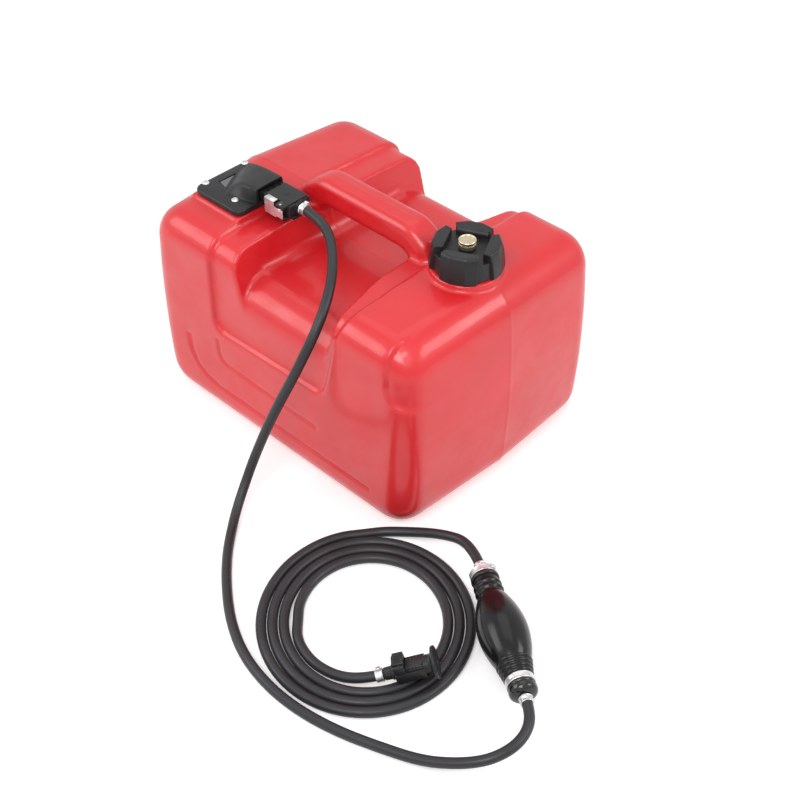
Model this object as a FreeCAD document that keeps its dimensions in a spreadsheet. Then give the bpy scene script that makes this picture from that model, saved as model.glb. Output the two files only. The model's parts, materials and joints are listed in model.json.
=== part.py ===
"""Portable outboard fuel tank with its hose, primer bulb and engine connector.

Millimetres. Origin: middle of the tank's foot, on the ground. +X runs along the
tank towards the filler cap, -Y is the front, +Z is up.
"""
import FreeCAD, Part
import math
import os
import Sketcher
from FreeCAD import Placement, Rotation, Vector

doc = FreeCAD.newDocument("FuelTank")
sheet = doc.addObject("Spreadsheet::Sheet", "Sizes")

SIZES = {
    # Tank block
    "tank_length": 366.0,
    "tank_depth": 264.0,
    "block_height": 215.0,
    "crown": 6.0,
    "end_draft": 7.0,
    "end_bulge": 7.0,
    "wall": 3.2,
    "corner_top": 34.0,
    "corner_foot": 34.0,
    "edge_round": 27.0,
    # Recessed middle band
    "band_inset_left": 99.0,
    "band_inset_right": 90.0,
    "band_inset_right_low": 115.0,
    "band_low": 112.0,
    "band_depth": 5.0,
    "band_corner": 14.0,
    # Saddle that runs front to back under the handle
    "saddle_inset_left": 126.0,
    "saddle_inset_right": 114.0,
    "saddle_deep": 35.0,
    "saddle_lean": 9.0,
    "saddle_round": 13.0,
    "flare_from": 54.0,
    "flare_slope": 0.2,
    "lip_round": 32.0,
    # Handle bridge
    "handle_rise": 30.0,
    "handle_thick": 30.0,
    "handle_width": 33.0,
    "handle_reach": 41.0,
    "handle_round": 10.0,
    # Filler neck and cap
    "cap_inset": 59.0,
    "boss_radius": 33.0,
    "boss_rise": 11.0,
    "neck_radius": 26.0,
    "neck_bore": 21.0,
    "neck_rise": 12.0,
    "seal_thick": 2.0,
    "seal_gap": 0.1,
    "turn_gap": 0.3,
    "cap_radius": 34.0,
    "cap_waist": 30.5,
    "cap_ceiling": 4.0,
    "lobe_rise": 7.5,
    "lobe_inner": 18.0,
    "lobe_width": 38.0,
    "lobe_turn": 27.0,
    "vent_hole": 3.3,
    "vent_shank": 3.25,
    "vent_head": 8.2,
    "vent_head_tall": 8.0,
    "vent_seal_thick": 1.2,
    "vent_seal_radius": 6.5,
    # Gauge and outlet
    "gauge_inset": 65.0,
    "gauge_y": -56.0,
    "gauge_width": 64.0,
    "gauge_depth": 68.0,
    "pad_rise": 5.5,
    "gasket_thick": 1.2,
    "plate_thick": 5.3,
    "gauge_hole": 22.0,
    "hood_rise": 15.5,
    "hood_width": 33.0,
    "hood_flat": 24.0,
    "hood_slope": 18.0,
    "hood_y": -47.5,
    "gauge_corner": 9.0,
    "socket_floor": 0.6,
    "socket_width": 27.0,
    "socket_tall": 9.6,
    "socket_depth": 14.0,
    "screw_shift": 6.5,
    "screw_y": -52.0,
    "screw_pitch_x": 43.0,
    "screw_pitch_y": 50.0,
    "screw_radius": 2.1,
    "screw_head": 3.6,
    "screw_head_tall": 1.6,
    "screw_long": 11.0,
    "window_size": 14.0,
    "window_thick": 1.6,
    "window_turn": 200.0,
    "dial_shift": 12.0,
    "dial_y": -54.0,
    "dial_radius": 9.5,
    "spindle_radius": 1.0,
    # Fuel pick-up and float
    "stem_radius": 21.5,
    "stem_long": 12.0,
    "pickup_radius": 4.0,
    "pickup_bore": 2.8,
    "pickup_foot": 16.0,
    "strainer_radius": 8.0,
    "strainer_tall": 18.0,
    "bracket_drop": 90.0,
    "bracket_thick": 2.0,
    "pivot_radius": 1.5,
    "pivot_gap": 0.05,
    "hub_radius": 4.0,
    "hub_wide": 6.0,
    "float_clear": 6.79,
    "arm_drop": 78.0,
    "pivot_shift": 10.0,
    "pivot_y": -54.0,
    "arm_radius": 1.2,
    "float_radius": 13.0,
    "float_long": 30.0,
    "pointer_long": 9.0,
    # Hose connector at the tank
    "hose_diameter": 9.5,
    "plug_long": 36.0,
    "plug_width": 30.0,
    "plug_tall": 16.0,
    "nose_gap": 0.4,
    "nipple_radius": 3.2,
    "nipple_bore": 2.2,
    "latch_sheet": 1.2,
    "latch_long": 24.0,
    "latch_flange": 7.0,
    "latch_eye": 2.3,
    "pin_radius": 1.1,
    "ear_thick": 2.0,
    "barb_long": 6.0,
    "barb_radius": 4.6,
    "clamp_wall": 1.1,
    "clamp_long": 6.0,
    # Primer bulb
    "bulb_long": 142.5,
    "bulb_radius": 22.3,
    "bulb_wall": 3.0,
    "bulb_neck": 11.6,
    "bulb_neck_long": 22.0,
    "spigot_radius": 8.6,
    "spigot_long": 18.0,
    "bulb_axis_z": 22.4,
    "bulb_low_x": 380.6,
    "bulb_low_y": -203.3,
    "bulb_heading": 146.0,
    "collar_radius": 14.0,
    "collar_long": 15.0,
    "fitting_bore": 3.0,
    "chamber_radius": 4.6,
    "chamber_deep": 12.0,
    "ball_radius": 3.8,
    "band_thick": 1.1,
    "band_wide": 6.0,
    # Hose coil
    "coil_x": 219.5,
    "coil_y": -222.0,
    "coil_yaw": 44.0,
    "coil_pitch": 10.1,
    "coil_mean": 101.05,
    "coil_oval": 8.0,
    "coil_shift": -1.5,
    "coil_start": 100.0,
    "coil_quarters": 13,
    "coil_end": 45.0,
    "coil_tuck": 8.0,
    "rest_gap": 0.05,
    # Engine connector
    "engine_right": 12.5,
    "engine_away": -67.7,
    "engine_z": 13.5,
    "engine_heading": 3.0,
    "engine_tilt": 17.0,
    "engine_body": 8.3,
    "engine_long": 46.0,
    "engine_flange": 14.2,
    "engine_flange_thick": 3.0,
    "engine_socket": 5.0,
    "engine_socket_deep": 17.0,
    "lever_long": 25.0,
    "lever_wide": 11.0,
    "lever_thick": 3.0,
    "lever_rise": 4.0,
    "lever_pin": 1.2,
}
for row, (alias, amount) in enumerate(SIZES.items(), start=1):
    sheet.set("A%d" % row, alias)
    sheet.set("B%d" % row, repr(float(amount)))
    sheet.setAlias("B%d" % row, alias)
doc.recompute()

# Places that follow from the sizes above, a later one from an earlier one
FOLLOWS = {
    "band_left": "({band_inset_left} - {tank_length} / 2)",
    "band_right": "({tank_length} / 2 - {band_inset_right})",
    "band_right_low": "({tank_length} / 2 - {band_inset_right_low})",
    "saddle_left": "({saddle_inset_left} - {tank_length} / 2)",
    "saddle_right": "({tank_length} / 2 - {saddle_inset_right})",
    "saddle_floor": "({block_height} - {saddle_deep})",
    "handle_top": "({block_height} + {handle_rise})",
    "boss_top": "({block_height} + {boss_rise})",
    "gauge_seat": "({block_height} + {pad_rise})",
    "cap_x": "({tank_length} / 2 - {cap_inset})",
    "gauge_x": "({gauge_inset} - {tank_length} / 2)",
    "screw_x": "({gauge_x} - {screw_shift})",
    "dial_x": "({gauge_x} - {dial_shift})",
    "pivot_x": "({gauge_x} - {pivot_shift})",
    "pivot_z": "({gauge_seat} + {gasket_thick} - {stem_long} - {bracket_drop} + {hub_wide})",
    "arm_long": "(({pivot_z} - {wall} - {float_radius} - {float_clear}) / sin({arm_drop}))",
}
FAR = 400.0
UP = Vector(0, 0, 1)


def bound(expression):
    """Expression text with each {name} worked out and turned into cells of the sheet."""
    for name in reversed(FOLLOWS):
        expression = expression.replace("{%s}" % name, FOLLOWS[name])
    return expression.replace("{", "Sizes.").replace("}", "")


def number(expression):
    """Value of an expression written with {alias} names."""
    return float(sheet.evalExpression(bound(expression)))


def size(name):
    """Current value of one size or place."""
    return number("{%s}" % name)


def plane_of(body, role):
    """One of a body's own origin planes."""
    return [item for item in body.Origin.OriginFeatures if item.Role == role][0]


def outline(body, name, role, points):
    """Closed polygon sketch whose corners are tied to the sheet."""
    sketch = body.newObject("Sketcher::SketchObject", name)
    sketch.AttachmentSupport = [(plane_of(body, role), "")]
    sketch.MapMode = "FlatFace"
    places = [Vector(number(first), number(second), 0) for first, second in points]
    count = len(points)
    for index in range(count):
        sketch.addGeometry(Part.LineSegment(places[index], places[(index + 1) % count]))
    for index in range(count):
        sketch.addConstraint(Sketcher.Constraint("Coincident", index, 2, (index + 1) % count, 1))
    for index, (first, second) in enumerate(points):
        for kind, text, start in (("DistanceX", first, places[index].x), ("DistanceY", second, places[index].y)):
            which = sketch.addConstraint(Sketcher.Constraint(kind, -1, 1, index, 1, start))
            sketch.setExpression("Constraints[%d]" % which, bound(text))
    return sketch


def turned(name, points, placement=None):
    """Body turned about Z from a profile of (radius, height) expressions."""
    body = doc.addObject("PartDesign::Body", name)
    body.Label = name
    sketch = outline(body, name + "_profile", "XZ_Plane", points)
    revolution = body.newObject("PartDesign::Revolution", name + "_turn")
    revolution.Profile = sketch
    revolution.ReferenceAxis = (sketch, ["V_Axis"])
    revolution.Angle = 360
    body.Tip = revolution
    if placement is not None:
        body.Placement = placement
    return body


def padded(name, role, points, length, placement=None):
    """Body padded both ways from one of its origin planes."""
    body = doc.addObject("PartDesign::Body", name)
    body.Label = name
    sketch = outline(body, name + "_profile", role, points)
    pad = body.newObject("PartDesign::Pad", name + "_pad")
    pad.Profile = sketch
    pad.Midplane = True
    pad.setExpression("Length", bound(length))
    body.Tip = pad
    if placement is not None:
        body.Placement = placement
    return body


def cylinder(name, radius, height, base=("0", "0", "0"), axis=UP):
    """Part cylinder tied to the sheet, standing on base along axis."""
    solid = doc.addObject("Part::Cylinder", name)
    solid.setExpression("Radius", bound(radius))
    solid.setExpression("Height", bound(height))
    solid.Placement = Placement(Vector(0, 0, 0), Rotation(UP, axis))
    for letter, text in zip("xyz", base):
        solid.setExpression("Placement.Base." + letter, bound(text))
    return solid


def block(name, length, width, height, corner):
    """Part box tied to the sheet, with its low corner at the given place."""
    solid = doc.addObject("Part::Box", name)
    solid.setExpression("Length", bound(length))
    solid.setExpression("Width", bound(width))
    solid.setExpression("Height", bound(height))
    for letter, text in zip("xyz", corner):
        solid.setExpression("Placement.Base." + letter, bound(text))
    return solid


def cut(name, base, tool):
    """Base less tool."""
    result = doc.addObject("Part::Cut", name)
    result.Label = name
    result.Base = base
    result.Tool = tool
    return result


def fuse(name, pieces):
    """Union of pieces."""
    result = doc.addObject("Part::MultiFuse", name)
    result.Label = name
    result.Shapes = pieces
    result.Refine = True
    return result


def free_form(name, shape, placement=None):
    """Feature that holds a computed shape."""
    feature = doc.addObject("Part::Feature", name)
    feature.Label = name
    feature.Shape = shape
    if placement is not None:
        feature.Placement = placement
    return feature


def rounded_face(points, radii):
    """Face of a polygon whose corners carry arcs of the radii given; zero keeps a corner sharp."""
    count = len(points)
    starts = []
    ends = []
    arcs = {}
    for index, here in enumerate(points):
        if radii[index] == 0:
            starts.append(here)
            ends.append(here)
            continue
        into = (points[index - 1] - here).normalize()
        out = (points[(index + 1) % count] - here).normalize()
        half = into.getAngle(out) / 2
        reach = radii[index] / math.tan(half)
        centre = here + (into + out).normalize() * (radii[index] / math.sin(half))
        starts.append(here + into * reach)
        ends.append(here + out * reach)
        middle = centre + (here - centre).normalize() * radii[index]
        arcs[index] = Part.Arc(starts[index], middle, ends[index]).toShape()
    edges = []
    for index in range(count):
        if index in arcs:
            edges.append(arcs[index])
        following = starts[(index + 1) % count]
        if (following - ends[index]).Length > 1e-6:
            edges.append(Part.LineSegment(ends[index], following).toShape())
    return Part.Face(Part.Wire(edges))


def across(points, radii, half_width):
    """Prism along Y over a rounded outline of (x, z) points."""
    corners = [Vector(x, -half_width, z) for x, z in points]
    return rounded_face(corners, radii).extrude(Vector(0, 2 * half_width, 0))


# The tank: a blow-moulded block, drafted both ways from the parting plane y = 0

def mould_half(inset):
    """Half of the block, from the parting plane to the back face."""
    half_length = size("tank_length") / 2 - inset
    half_depth = size("tank_depth") / 2 - inset
    edge_top = size("block_height") - inset
    foot_trim = 1.0

    def section(depth, narrower, high):
        low = inset - foot_trim
        wide = half_length - narrower
        tuck = wide - size("end_bulge")
        waist = (high + inset) / 2
        corners = [Vector(x, depth, z) for x, z in ((-tuck, low), (tuck, low), (tuck, high), (-tuck, high))]
        edges = [Part.LineSegment(corners[0], corners[1]).toShape()]
        edges.append(Part.Arc(corners[1], Vector(wide, depth, waist), corners[2]).toShape())
        edges.append(Part.LineSegment(corners[2], corners[3]).toShape())
        edges.append(Part.Arc(corners[3], Vector(-wide, depth, waist), corners[0]).toShape())
        return Part.Wire(edges)

    middle = section(0, 0, edge_top + size("crown"))
    face = section(half_depth, size("end_draft"), edge_top)
    half = Part.makeLoft([middle, face], True, True)
    half = half.cut(Part.makeBox(2 * FAR, 2 * FAR, FAR, Vector(-FAR, -FAR, inset - FAR)))

    def along_depth(shape):
        span = half_depth - 1e-3
        return [edge for edge in shape.Edges if edge.BoundBox.YLength > span]

    low = [edge for edge in along_depth(half) if edge.BoundBox.ZMax < edge_top / 2]
    half = half.makeFillet(max(size("corner_foot") - inset, 1), low)
    high = [edge for edge in along_depth(half) if edge.BoundBox.ZMin > edge_top - 1]
    half = half.makeFillet(max(size("corner_top") - inset, 1), high)
    rim = [edge for edge in half.Edges if edge.BoundBox.YMin > half_depth - 1e-3]
    return half.makeFillet(max(size("edge_round") - inset, 1), rim)


def mould_block(inset):
    """Both halves, joined at the parting plane."""
    half = mould_half(inset)
    return half.fuse(half.mirror(Vector(0, 0, 0), Vector(0, 1, 0)))


def band_tool(inset):
    """Prism over the recessed middle band, as seen from the front."""
    left = size("band_left") - inset
    right = size("band_right") + inset
    right_low = size("band_right_low") + inset
    low = size("band_low") - inset
    corner = size("band_corner")
    points = [(left, FAR), (left, low), (right_low, low + 5), (right, size("block_height")), (right, FAR)]
    return across(points, [0, corner, corner, corner, 0], FAR / 2)


def saddle_trough(inset, floor, corner):
    """Trough from front to back whose right wall flares out towards both faces."""
    slope = size("saddle_lean") / (size("block_height") - size("saddle_floor"))
    low = slope * (size("block_height") - floor)
    high = slope * (FAR - size("block_height"))
    left = size("saddle_left") - inset
    reach = size("tank_depth") / 2 + 20
    sections = []
    for depth in (-reach, -size("flare_from"), size("flare_from"), reach):
        right = size("saddle_right") + inset + size("flare_slope") * (abs(depth) - size("flare_from"))
        places = [(left - high, FAR), (left + low, floor), (right - low, floor), (right + high, FAR)]
        corners = [Vector(x, depth, z) for x, z in places]
        sections.append(rounded_face(corners, [0, corner, corner, 0]).OuterWire)
    return Part.makeLoft(sections, True, True)


def saddle_tool(inset):
    """Everything the saddle takes away: the trough and the rounded lips before and behind it."""
    floor = size("saddle_floor") - inset
    corner = size("saddle_round") + inset
    lip = size("lip_round") + inset
    face = size("tank_depth") / 2 - size("band_depth") - inset
    trough = saddle_trough(inset, floor, corner)
    sides = saddle_trough(inset, floor - lip, 0)
    for side in (-1, 1):
        outside = Part.makeBox(2 * FAR, FAR, FAR, Vector(-FAR, face - lip if side > 0 else lip - face - FAR, floor - lip))
        rod = Part.makeCylinder(lip, 2 * FAR, Vector(-FAR, side * (face - lip), floor - lip), Vector(1, 0, 0))
        trough = trough.fuse(sides.common(outside.cut(rod)))
    return trough


def tank_form(inset):
    """Block with its recessed band and its saddle, all drawn in by inset."""
    layer = band_tool(inset).cut(mould_block(inset + size("band_depth")))
    return mould_block(inset).cut(layer).cut(saddle_tool(inset))


def handle_form():
    """Bridge over the saddle, with its ends run into the two end blocks."""
    top = size("handle_top")
    under = top - size("handle_thick")
    left = size("saddle_left")
    right = size("saddle_right")
    reach = size("handle_reach")
    root = size("saddle_floor") + 15
    points = [
        (left - reach, root), (left - reach * 0.45, top - 16), (left + 2, top), (right - 4, top),
        (right + reach * 0.4, top - 14), (right + reach * 0.75, root),
        (right + 2, root), (right - 9, under), (left + 9, under), (left - 2, root),
    ]
    radii = [0, 30, 30, 30, 14, 0, 0, 14, 14, 0]
    half = size("handle_width") / 2
    bar = across(points, radii, half)
    rim = [
        edge for edge in bar.Edges
        if edge.BoundBox.YLength < 1e-6 and edge.BoundBox.ZLength + edge.BoundBox.XLength > 1e-3
        and not (edge.BoundBox.ZMax < root + 1e-3)
    ]
    return bar.makeFillet(size("handle_round"), rim)


TANK_BLOCK = free_form("tank_block", tank_form(0).fuse(handle_form()).cut(tank_form(size("wall"))))
BOSS_BASE = "{block_height} - 6"
BOSS_HEIGHT = "{boss_top} - {block_height} + 6"
seat = block(
    "gauge_pad", "{gauge_width} + 3", "{gauge_depth} + 3", "{gauge_seat} - {block_height} + 3",
    ("{gauge_x} - {gauge_width} / 2 - 1.5", "{gauge_y} - {gauge_depth} / 2 - 1.5", "{block_height} - 3"),
)
neck_seat = cylinder("neck_seat", "{boss_radius}", BOSS_HEIGHT, ("{cap_x}", "0", BOSS_BASE))
gauge_bore = cylinder("gauge_opening", "{gauge_hole}", "40", ("{gauge_x}", "{gauge_y}", "{block_height} - 20"))


def at_corners(name, radius, height, low):
    """Four cylinders on the gauge's screw pattern."""
    posts = []
    for first, side in enumerate("-+"):
        for second, way in enumerate("-+"):
            x = "{screw_x} %s {screw_pitch_x} / 2" % side
            y = "{screw_y} %s {screw_pitch_y} / 2" % way
            posts.append(cylinder("%s_%d" % (name, 2 * first + second), radius, height, (x, y, low)))
    return fuse(name, posts)


screw_wells = at_corners("screw_wells", "{screw_radius}", "{screw_long}", "{gauge_seat} - 4.6")
tank_shell = cut("tank_shell", fuse("tank_raised", [TANK_BLOCK, seat]),
                 fuse("tank_openings", [neck_seat, gauge_bore, screw_wells]))

# Filler neck, let into the shell's top

boss = cylinder("neck_boss", "{boss_radius}", BOSS_HEIGHT, ("{cap_x}", "0", BOSS_BASE))
neck = cylinder("neck_tube", "{neck_radius}", "{neck_rise}", ("{cap_x}", "0", "{boss_top}"))
neck_bore = cylinder("neck_opening", "{neck_bore}", "60", ("{cap_x}", "0", "{boss_top} - 40"))
filler_neck = cut("filler_neck", fuse("neck_raised", [boss, neck]), neck_bore)

# Filler cap with its seal and its vent screw

CAP_CENTRE = Placement(Vector(size("cap_x"), 0, 0), Rotation())
NECK_TOP = "({boss_top} + {neck_rise})"
CEILING = "({boss_top} + {neck_rise} + {seal_thick} + 2 * {seal_gap})"
CAP_FLOOR = "({boss_top} + {turn_gap})"
CAP_FACE = "({boss_top} + {neck_rise} + {seal_thick} + 2 * {seal_gap} + {cap_ceiling})"
SKIRT = "{neck_radius} + {turn_gap}"

cap_seal = turned("cap_seal", [
    ("{neck_bore}", NECK_TOP + " + {seal_gap}"), ("{neck_radius}", NECK_TOP + " + {seal_gap}"),
    ("{neck_radius}", NECK_TOP + " + {seal_gap} + {seal_thick}"), ("{neck_bore}", NECK_TOP + " + {seal_gap} + {seal_thick}"),
], CAP_CENTRE)

cap_cup = turned("cap_cup", [
    ("{vent_hole}", CEILING), (SKIRT, CEILING), (SKIRT, CAP_FLOOR), ("{cap_waist}", CAP_FLOOR),
    ("{cap_waist}", CAP_FACE), ("{vent_hole}", CAP_FACE),
], CAP_CENTRE)
grip_ring = turned("grip_ring", [
    (SKIRT, CAP_FLOOR + " + 1"), ("{cap_radius}", CAP_FLOOR + " + 1"), ("{cap_radius}", CAP_FACE + " + {lobe_rise} - 3"),
    ("{cap_radius} - 3", CAP_FACE + " + {lobe_rise}"), ("{lobe_inner}", CAP_FACE + " + {lobe_rise}"),
    ("{lobe_inner} + 2", CAP_FACE + " - 1"), (SKIRT, CAP_FACE + " - 1"),
], CAP_CENTRE)
grip_bars = []
for index in range(2):
    bar = doc.addObject("Part::Box", "grip_bar_%d" % index)
    bar.setExpression("Length", bound("2 * {cap_radius} + 2"))
    bar.setExpression("Width", bound("{lobe_width}"))
    bar.Height = FAR
    turn = Rotation(UP, size("lobe_turn") + 90 * index)
    corner = turn.multVec(Vector(-size("cap_radius") - 1, -size("lobe_width") / 2, 0))
    bar.Placement = Placement(Vector(size("cap_x"), 0, 0) + corner, turn)
    grip_bars.append(bar)
cap_grips = doc.addObject("Part::Common", "cap_grips")
cap_grips.Base = grip_ring
cap_grips.Tool = fuse("grip_cross", grip_bars)
filler_cap = fuse("filler_cap", [cap_cup, cap_grips])

SEAL_TOP = CAP_FACE + " + 0.05 + {vent_seal_thick}"
vent_seal = turned("vent_seal", [
    ("{vent_hole}", CAP_FACE + " + 0.05"), ("{vent_seal_radius}", CAP_FACE + " + 0.05"),
    ("{vent_seal_radius}", SEAL_TOP), ("{vent_hole}", SEAL_TOP),
], CAP_CENTRE)
vent_screw = turned("vent_screw", [
    ("0", CEILING + " - 5"), ("{vent_shank}", CEILING + " - 5"), ("{vent_shank}", SEAL_TOP + " + 0.05"),
    ("{vent_head}", SEAL_TOP + " + 0.05"), ("{vent_head}", SEAL_TOP + " + {vent_head_tall} - 0.8"),
    ("{vent_head} - 0.8", SEAL_TOP + " + {vent_head_tall}"), ("0", SEAL_TOP + " + {vent_head_tall}"),
], CAP_CENTRE)

# Gauge and outlet housing

GASKET_TOP = "({gauge_seat} + {gasket_thick})"
PLATE_TOP = "({gauge_seat} + {gasket_thick} + {plate_thick})"
HOOD_END = "({gauge_x} + {gauge_width} / 2 + 2)"
JOINT_Z = "({gauge_seat} + {gasket_thick} + {plate_thick} + {socket_floor} + {socket_tall} / 2)"


def gauge_slab(name, thick, low, margin):
    """Slab with rounded corners over the gauge's seat."""
    slab = block(
        name + "_slab", "{gauge_width} - 2 * %s" % margin, "{gauge_depth} - 2 * %s" % margin, thick,
        ("{gauge_x} - {gauge_width} / 2 + %s" % margin, "{gauge_y} - {gauge_depth} / 2 + %s" % margin, low),
    )
    rounded = doc.addObject("Part::Fillet", name + "_rounded")
    rounded.Base = slab
    rounded.Edges = [(edge, size("gauge_corner"), size("gauge_corner")) for edge in (1, 3, 5, 7)]
    return rounded


gasket_slab = gauge_slab("gasket", "{gasket_thick}", "{gauge_seat}", "1")
gasket_hole = cylinder("gasket_hole", "{gauge_hole}", "{gasket_thick} + 2", ("{gauge_x}", "{gauge_y}", "{gauge_seat} - 1"))
gauge_gasket = cut("gauge_gasket", gasket_slab, fuse("gasket_holes", [
    gasket_hole, at_corners("gasket_screw_holes", "{screw_radius}", "{gasket_thick} + 2", "{gauge_seat} - 1")]))

plate = gauge_slab("plate", "{plate_thick}", GASKET_TOP, "0")
stem = cylinder("stem", "{stem_radius}", "{stem_long} + 1", ("{gauge_x}", "{gauge_y}", GASKET_TOP + " - {stem_long}"))
hood = padded("hood", "XZ_Plane", [
    (HOOD_END + " - {hood_flat} - {hood_slope}", PLATE_TOP + " - 1"), (HOOD_END + " - {hood_flat}", PLATE_TOP + " + {hood_rise}"),
    (HOOD_END, PLATE_TOP + " + {hood_rise}"), (HOOD_END, PLATE_TOP + " - 1"),
], "{hood_width}", Placement(Vector(0, size("hood_y"), 0), Rotation()))
ALONG = Vector(1, 0, 0)
socket = block("socket", "{socket_depth} + 1", "{socket_width}", "{socket_tall}",
               (HOOD_END + " - {socket_depth}", "{hood_y} - {socket_width} / 2", PLATE_TOP + " + {socket_floor}"))
nipple_hole = cylinder("nipple_hole", "{nipple_radius}", "{socket_depth} + 6",
                       (HOOD_END + " - {socket_depth} - 5", "{hood_y}", JOINT_Z), ALONG)
duct = cylinder("duct", "{nipple_bore}", "9", (HOOD_END + " - {socket_depth} - 12", "{hood_y}", JOINT_Z), ALONG)
PICKUP_X = "({gauge_x} + {gauge_width} / 2 + 2 - {socket_depth} - 10)"
riser = cylinder("riser", "{pickup_bore}", "20", (PICKUP_X, "{hood_y}", JOINT_Z + " - 20"))
pickup_hole = cylinder("pickup_hole", "{pickup_radius}", "{stem_long}", (PICKUP_X, "{hood_y}", GASKET_TOP + " - {stem_long} - 2"))
dial_well = cylinder("dial_well", "{dial_radius}", "{stem_long} + {plate_thick} - {window_thick}",
                     ("{dial_x}", "{dial_y}", GASKET_TOP + " - {stem_long}"))


def window_prism(name, low, tall, margin):
    """Three-sided prism of the sight window."""
    body = padded(name, "XY_Plane", [
        ("{window_size} * 0.6 - %s * 2" % margin, "0"), ("-{window_size} * 0.45 + %s" % margin, "{window_size} * 0.6 - %s * 1.6" % margin),
        ("-{window_size} * 0.45 + %s" % margin, "-{window_size} * 0.6 + %s * 1.6" % margin),
    ], tall, Placement(Vector(size("dial_x"), size("dial_y"), number(low) + number(tall) / 2), Rotation(UP, size("window_turn"))))
    return body


window_hole = window_prism("window_hole", PLATE_TOP + " - {window_thick} - 1", "{window_thick} + 2", "0")
gauge_lens = window_prism("gauge_lens", PLATE_TOP + " - {window_thick}", "{window_thick} + 0.4", "0.05")
gauge_housing = cut("gauge_housing", fuse("housing_solid", [plate, stem, hood]), fuse("housing_holes", [
    socket, nipple_hole, duct, riser, pickup_hole, dial_well, window_hole,
    at_corners("plate_screw_holes", "{screw_radius}", "{plate_thick} + 2", GASKET_TOP + " - 1")]))
flange_screws = fuse("flange_screws", [
    at_corners("screw_shanks", "{screw_radius}", "{screw_long} - 1", PLATE_TOP + " - {screw_long} + 1"),
    at_corners("screw_heads", "{screw_head}", "{screw_head_tall}", PLATE_TOP)])

dial_blank = cylinder("dial_blank", "{dial_radius} - 0.05", "1.2", ("{dial_x}", "{dial_y}", GASKET_TOP + " - 2"))
dial_eye = cylinder("dial_eye", "{spindle_radius} + {pivot_gap}", "4", ("{dial_x}", "{dial_y}", GASKET_TOP + " - 3"))
gauge_dial = cut("gauge_dial", dial_blank, dial_eye)
hand = block("pointer_hand", "{pointer_long}", "2", "0.8", ("{dial_x} - 2", "{dial_y} - 1", GASKET_TOP + " - 0.2"))
spindle = cylinder("pointer_spindle", "{spindle_radius}", "{stem_long} - 2", ("{dial_x}", "{dial_y}", GASKET_TOP + " - {stem_long} + 2"))
gauge_pointer = fuse("gauge_pointer", [hand, spindle])

# Pick-up, strainer and float

pickup_rod = cylinder("pickup_rod", "{pickup_radius}", GASKET_TOP + " - 2 - {pickup_foot}", (PICKUP_X, "{hood_y}", "{pickup_foot}"))
pickup_core = cylinder("pickup_core", "{pickup_bore}", "{block_height} + 20", (PICKUP_X, "{hood_y}", "0"))
pickup_tube = cut("pickup_tube", pickup_rod, pickup_core)
PICKUP_LINE = Placement(Vector(number(PICKUP_X), size("hood_y"), 0), Rotation())
pickup_strainer = turned("pickup_strainer", [
    ("0", "{wall} + 2"), ("{strainer_radius}", "{wall} + 2"), ("{strainer_radius}", "{wall} + 2 + {strainer_tall}"),
    ("{pickup_radius}", "{wall} + 2 + {strainer_tall}"), ("{pickup_radius}", "{pickup_foot} - 1"),
    ("{strainer_radius} - 2", "{pickup_foot} - 2"), ("{strainer_radius} - 2", "{wall} + 4"), ("0", "{wall} + 4"),
], PICKUP_LINE)

STEM_FOOT = "({gauge_seat} + {gasket_thick} - {stem_long})"
PIVOT_Z = "{pivot_z}"
tongue = block("tongue", "{bracket_thick}", "12", "{bracket_drop}", ("{pivot_x}", "{pivot_y} - 6", STEM_FOOT + " - {bracket_drop}"))
PIN_END = "{pivot_x} - {hub_wide} - 2"
pin_hole = cylinder("pin_hole", "{pivot_radius}", "{bracket_thick} + 2", ("{pivot_x} - 1", "{pivot_y}", PIVOT_Z), ALONG)
float_bracket = cut("float_bracket", tongue, pin_hole)
float_pin = fuse("float_pin", [
    cylinder("pin_shaft", "{pivot_radius}", "{hub_wide} + 2 + {bracket_thick}", (PIN_END, "{pivot_y}", PIVOT_Z), ALONG),
    cylinder("pin_cap", "{pivot_radius} + 1.2", "1.2", (PIN_END + " - 1.2", "{pivot_y}", PIVOT_Z), ALONG)])
hub = cylinder("hub", "{hub_radius}", "{hub_wide}", ("{pivot_x} - {hub_wide} - 1", "{pivot_y}", PIVOT_Z), ALONG)
hub_eye = cylinder("hub_eye", "{pivot_radius} + {pivot_gap}", "{hub_wide} + 2", ("{pivot_x} - {hub_wide} - 2", "{pivot_y}", PIVOT_Z), ALONG)
ARM_WAY = Vector(0, math.cos(math.radians(size("arm_drop"))), -math.sin(math.radians(size("arm_drop"))))
ARM_X = "{pivot_x} - 1 - {hub_wide} / 2"
rod = cylinder("arm_rod", "{arm_radius}", "{arm_long} - {hub_radius} + 1", (ARM_X, "0", "0"), ARM_WAY)
rod_foot = Vector(number(ARM_X), size("pivot_y"), number(PIVOT_Z)) + ARM_WAY * (size("hub_radius") - 1)
rod.setExpression("Placement.Base.y", None)
rod.setExpression("Placement.Base.z", None)
rod.Placement.Base = rod_foot
float_arm = fuse("float_arm", [cut("hub_ring", hub, hub_eye), rod])
FLOAT_AT = Vector(number(ARM_X), size("pivot_y"), number(PIVOT_Z)) + ARM_WAY * size("arm_long")
fuel_float = doc.addObject("Part::Cut", "fuel_float")
fuel_float.Label = "fuel_float"
cork = cylinder("float_cork", "{float_radius}", "{float_long}", ("0", "0", "0"), ALONG)
slit = cylinder("float_slit", "{arm_radius}", "{arm_long} + 1", ("0", "0", "0"), ARM_WAY)
for owner, place in ((cork, FLOAT_AT - ALONG * (size("float_long") / 2)), (slit, FLOAT_AT - ARM_WAY * size("arm_long"))):
    for letter in "xyz":
        owner.setExpression("Placement.Base." + letter, None)
    owner.Placement.Base = place
fuel_float.Base = cork
fuel_float.Tool = slit

# Outlet nipple and the hose's tank connector

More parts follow.
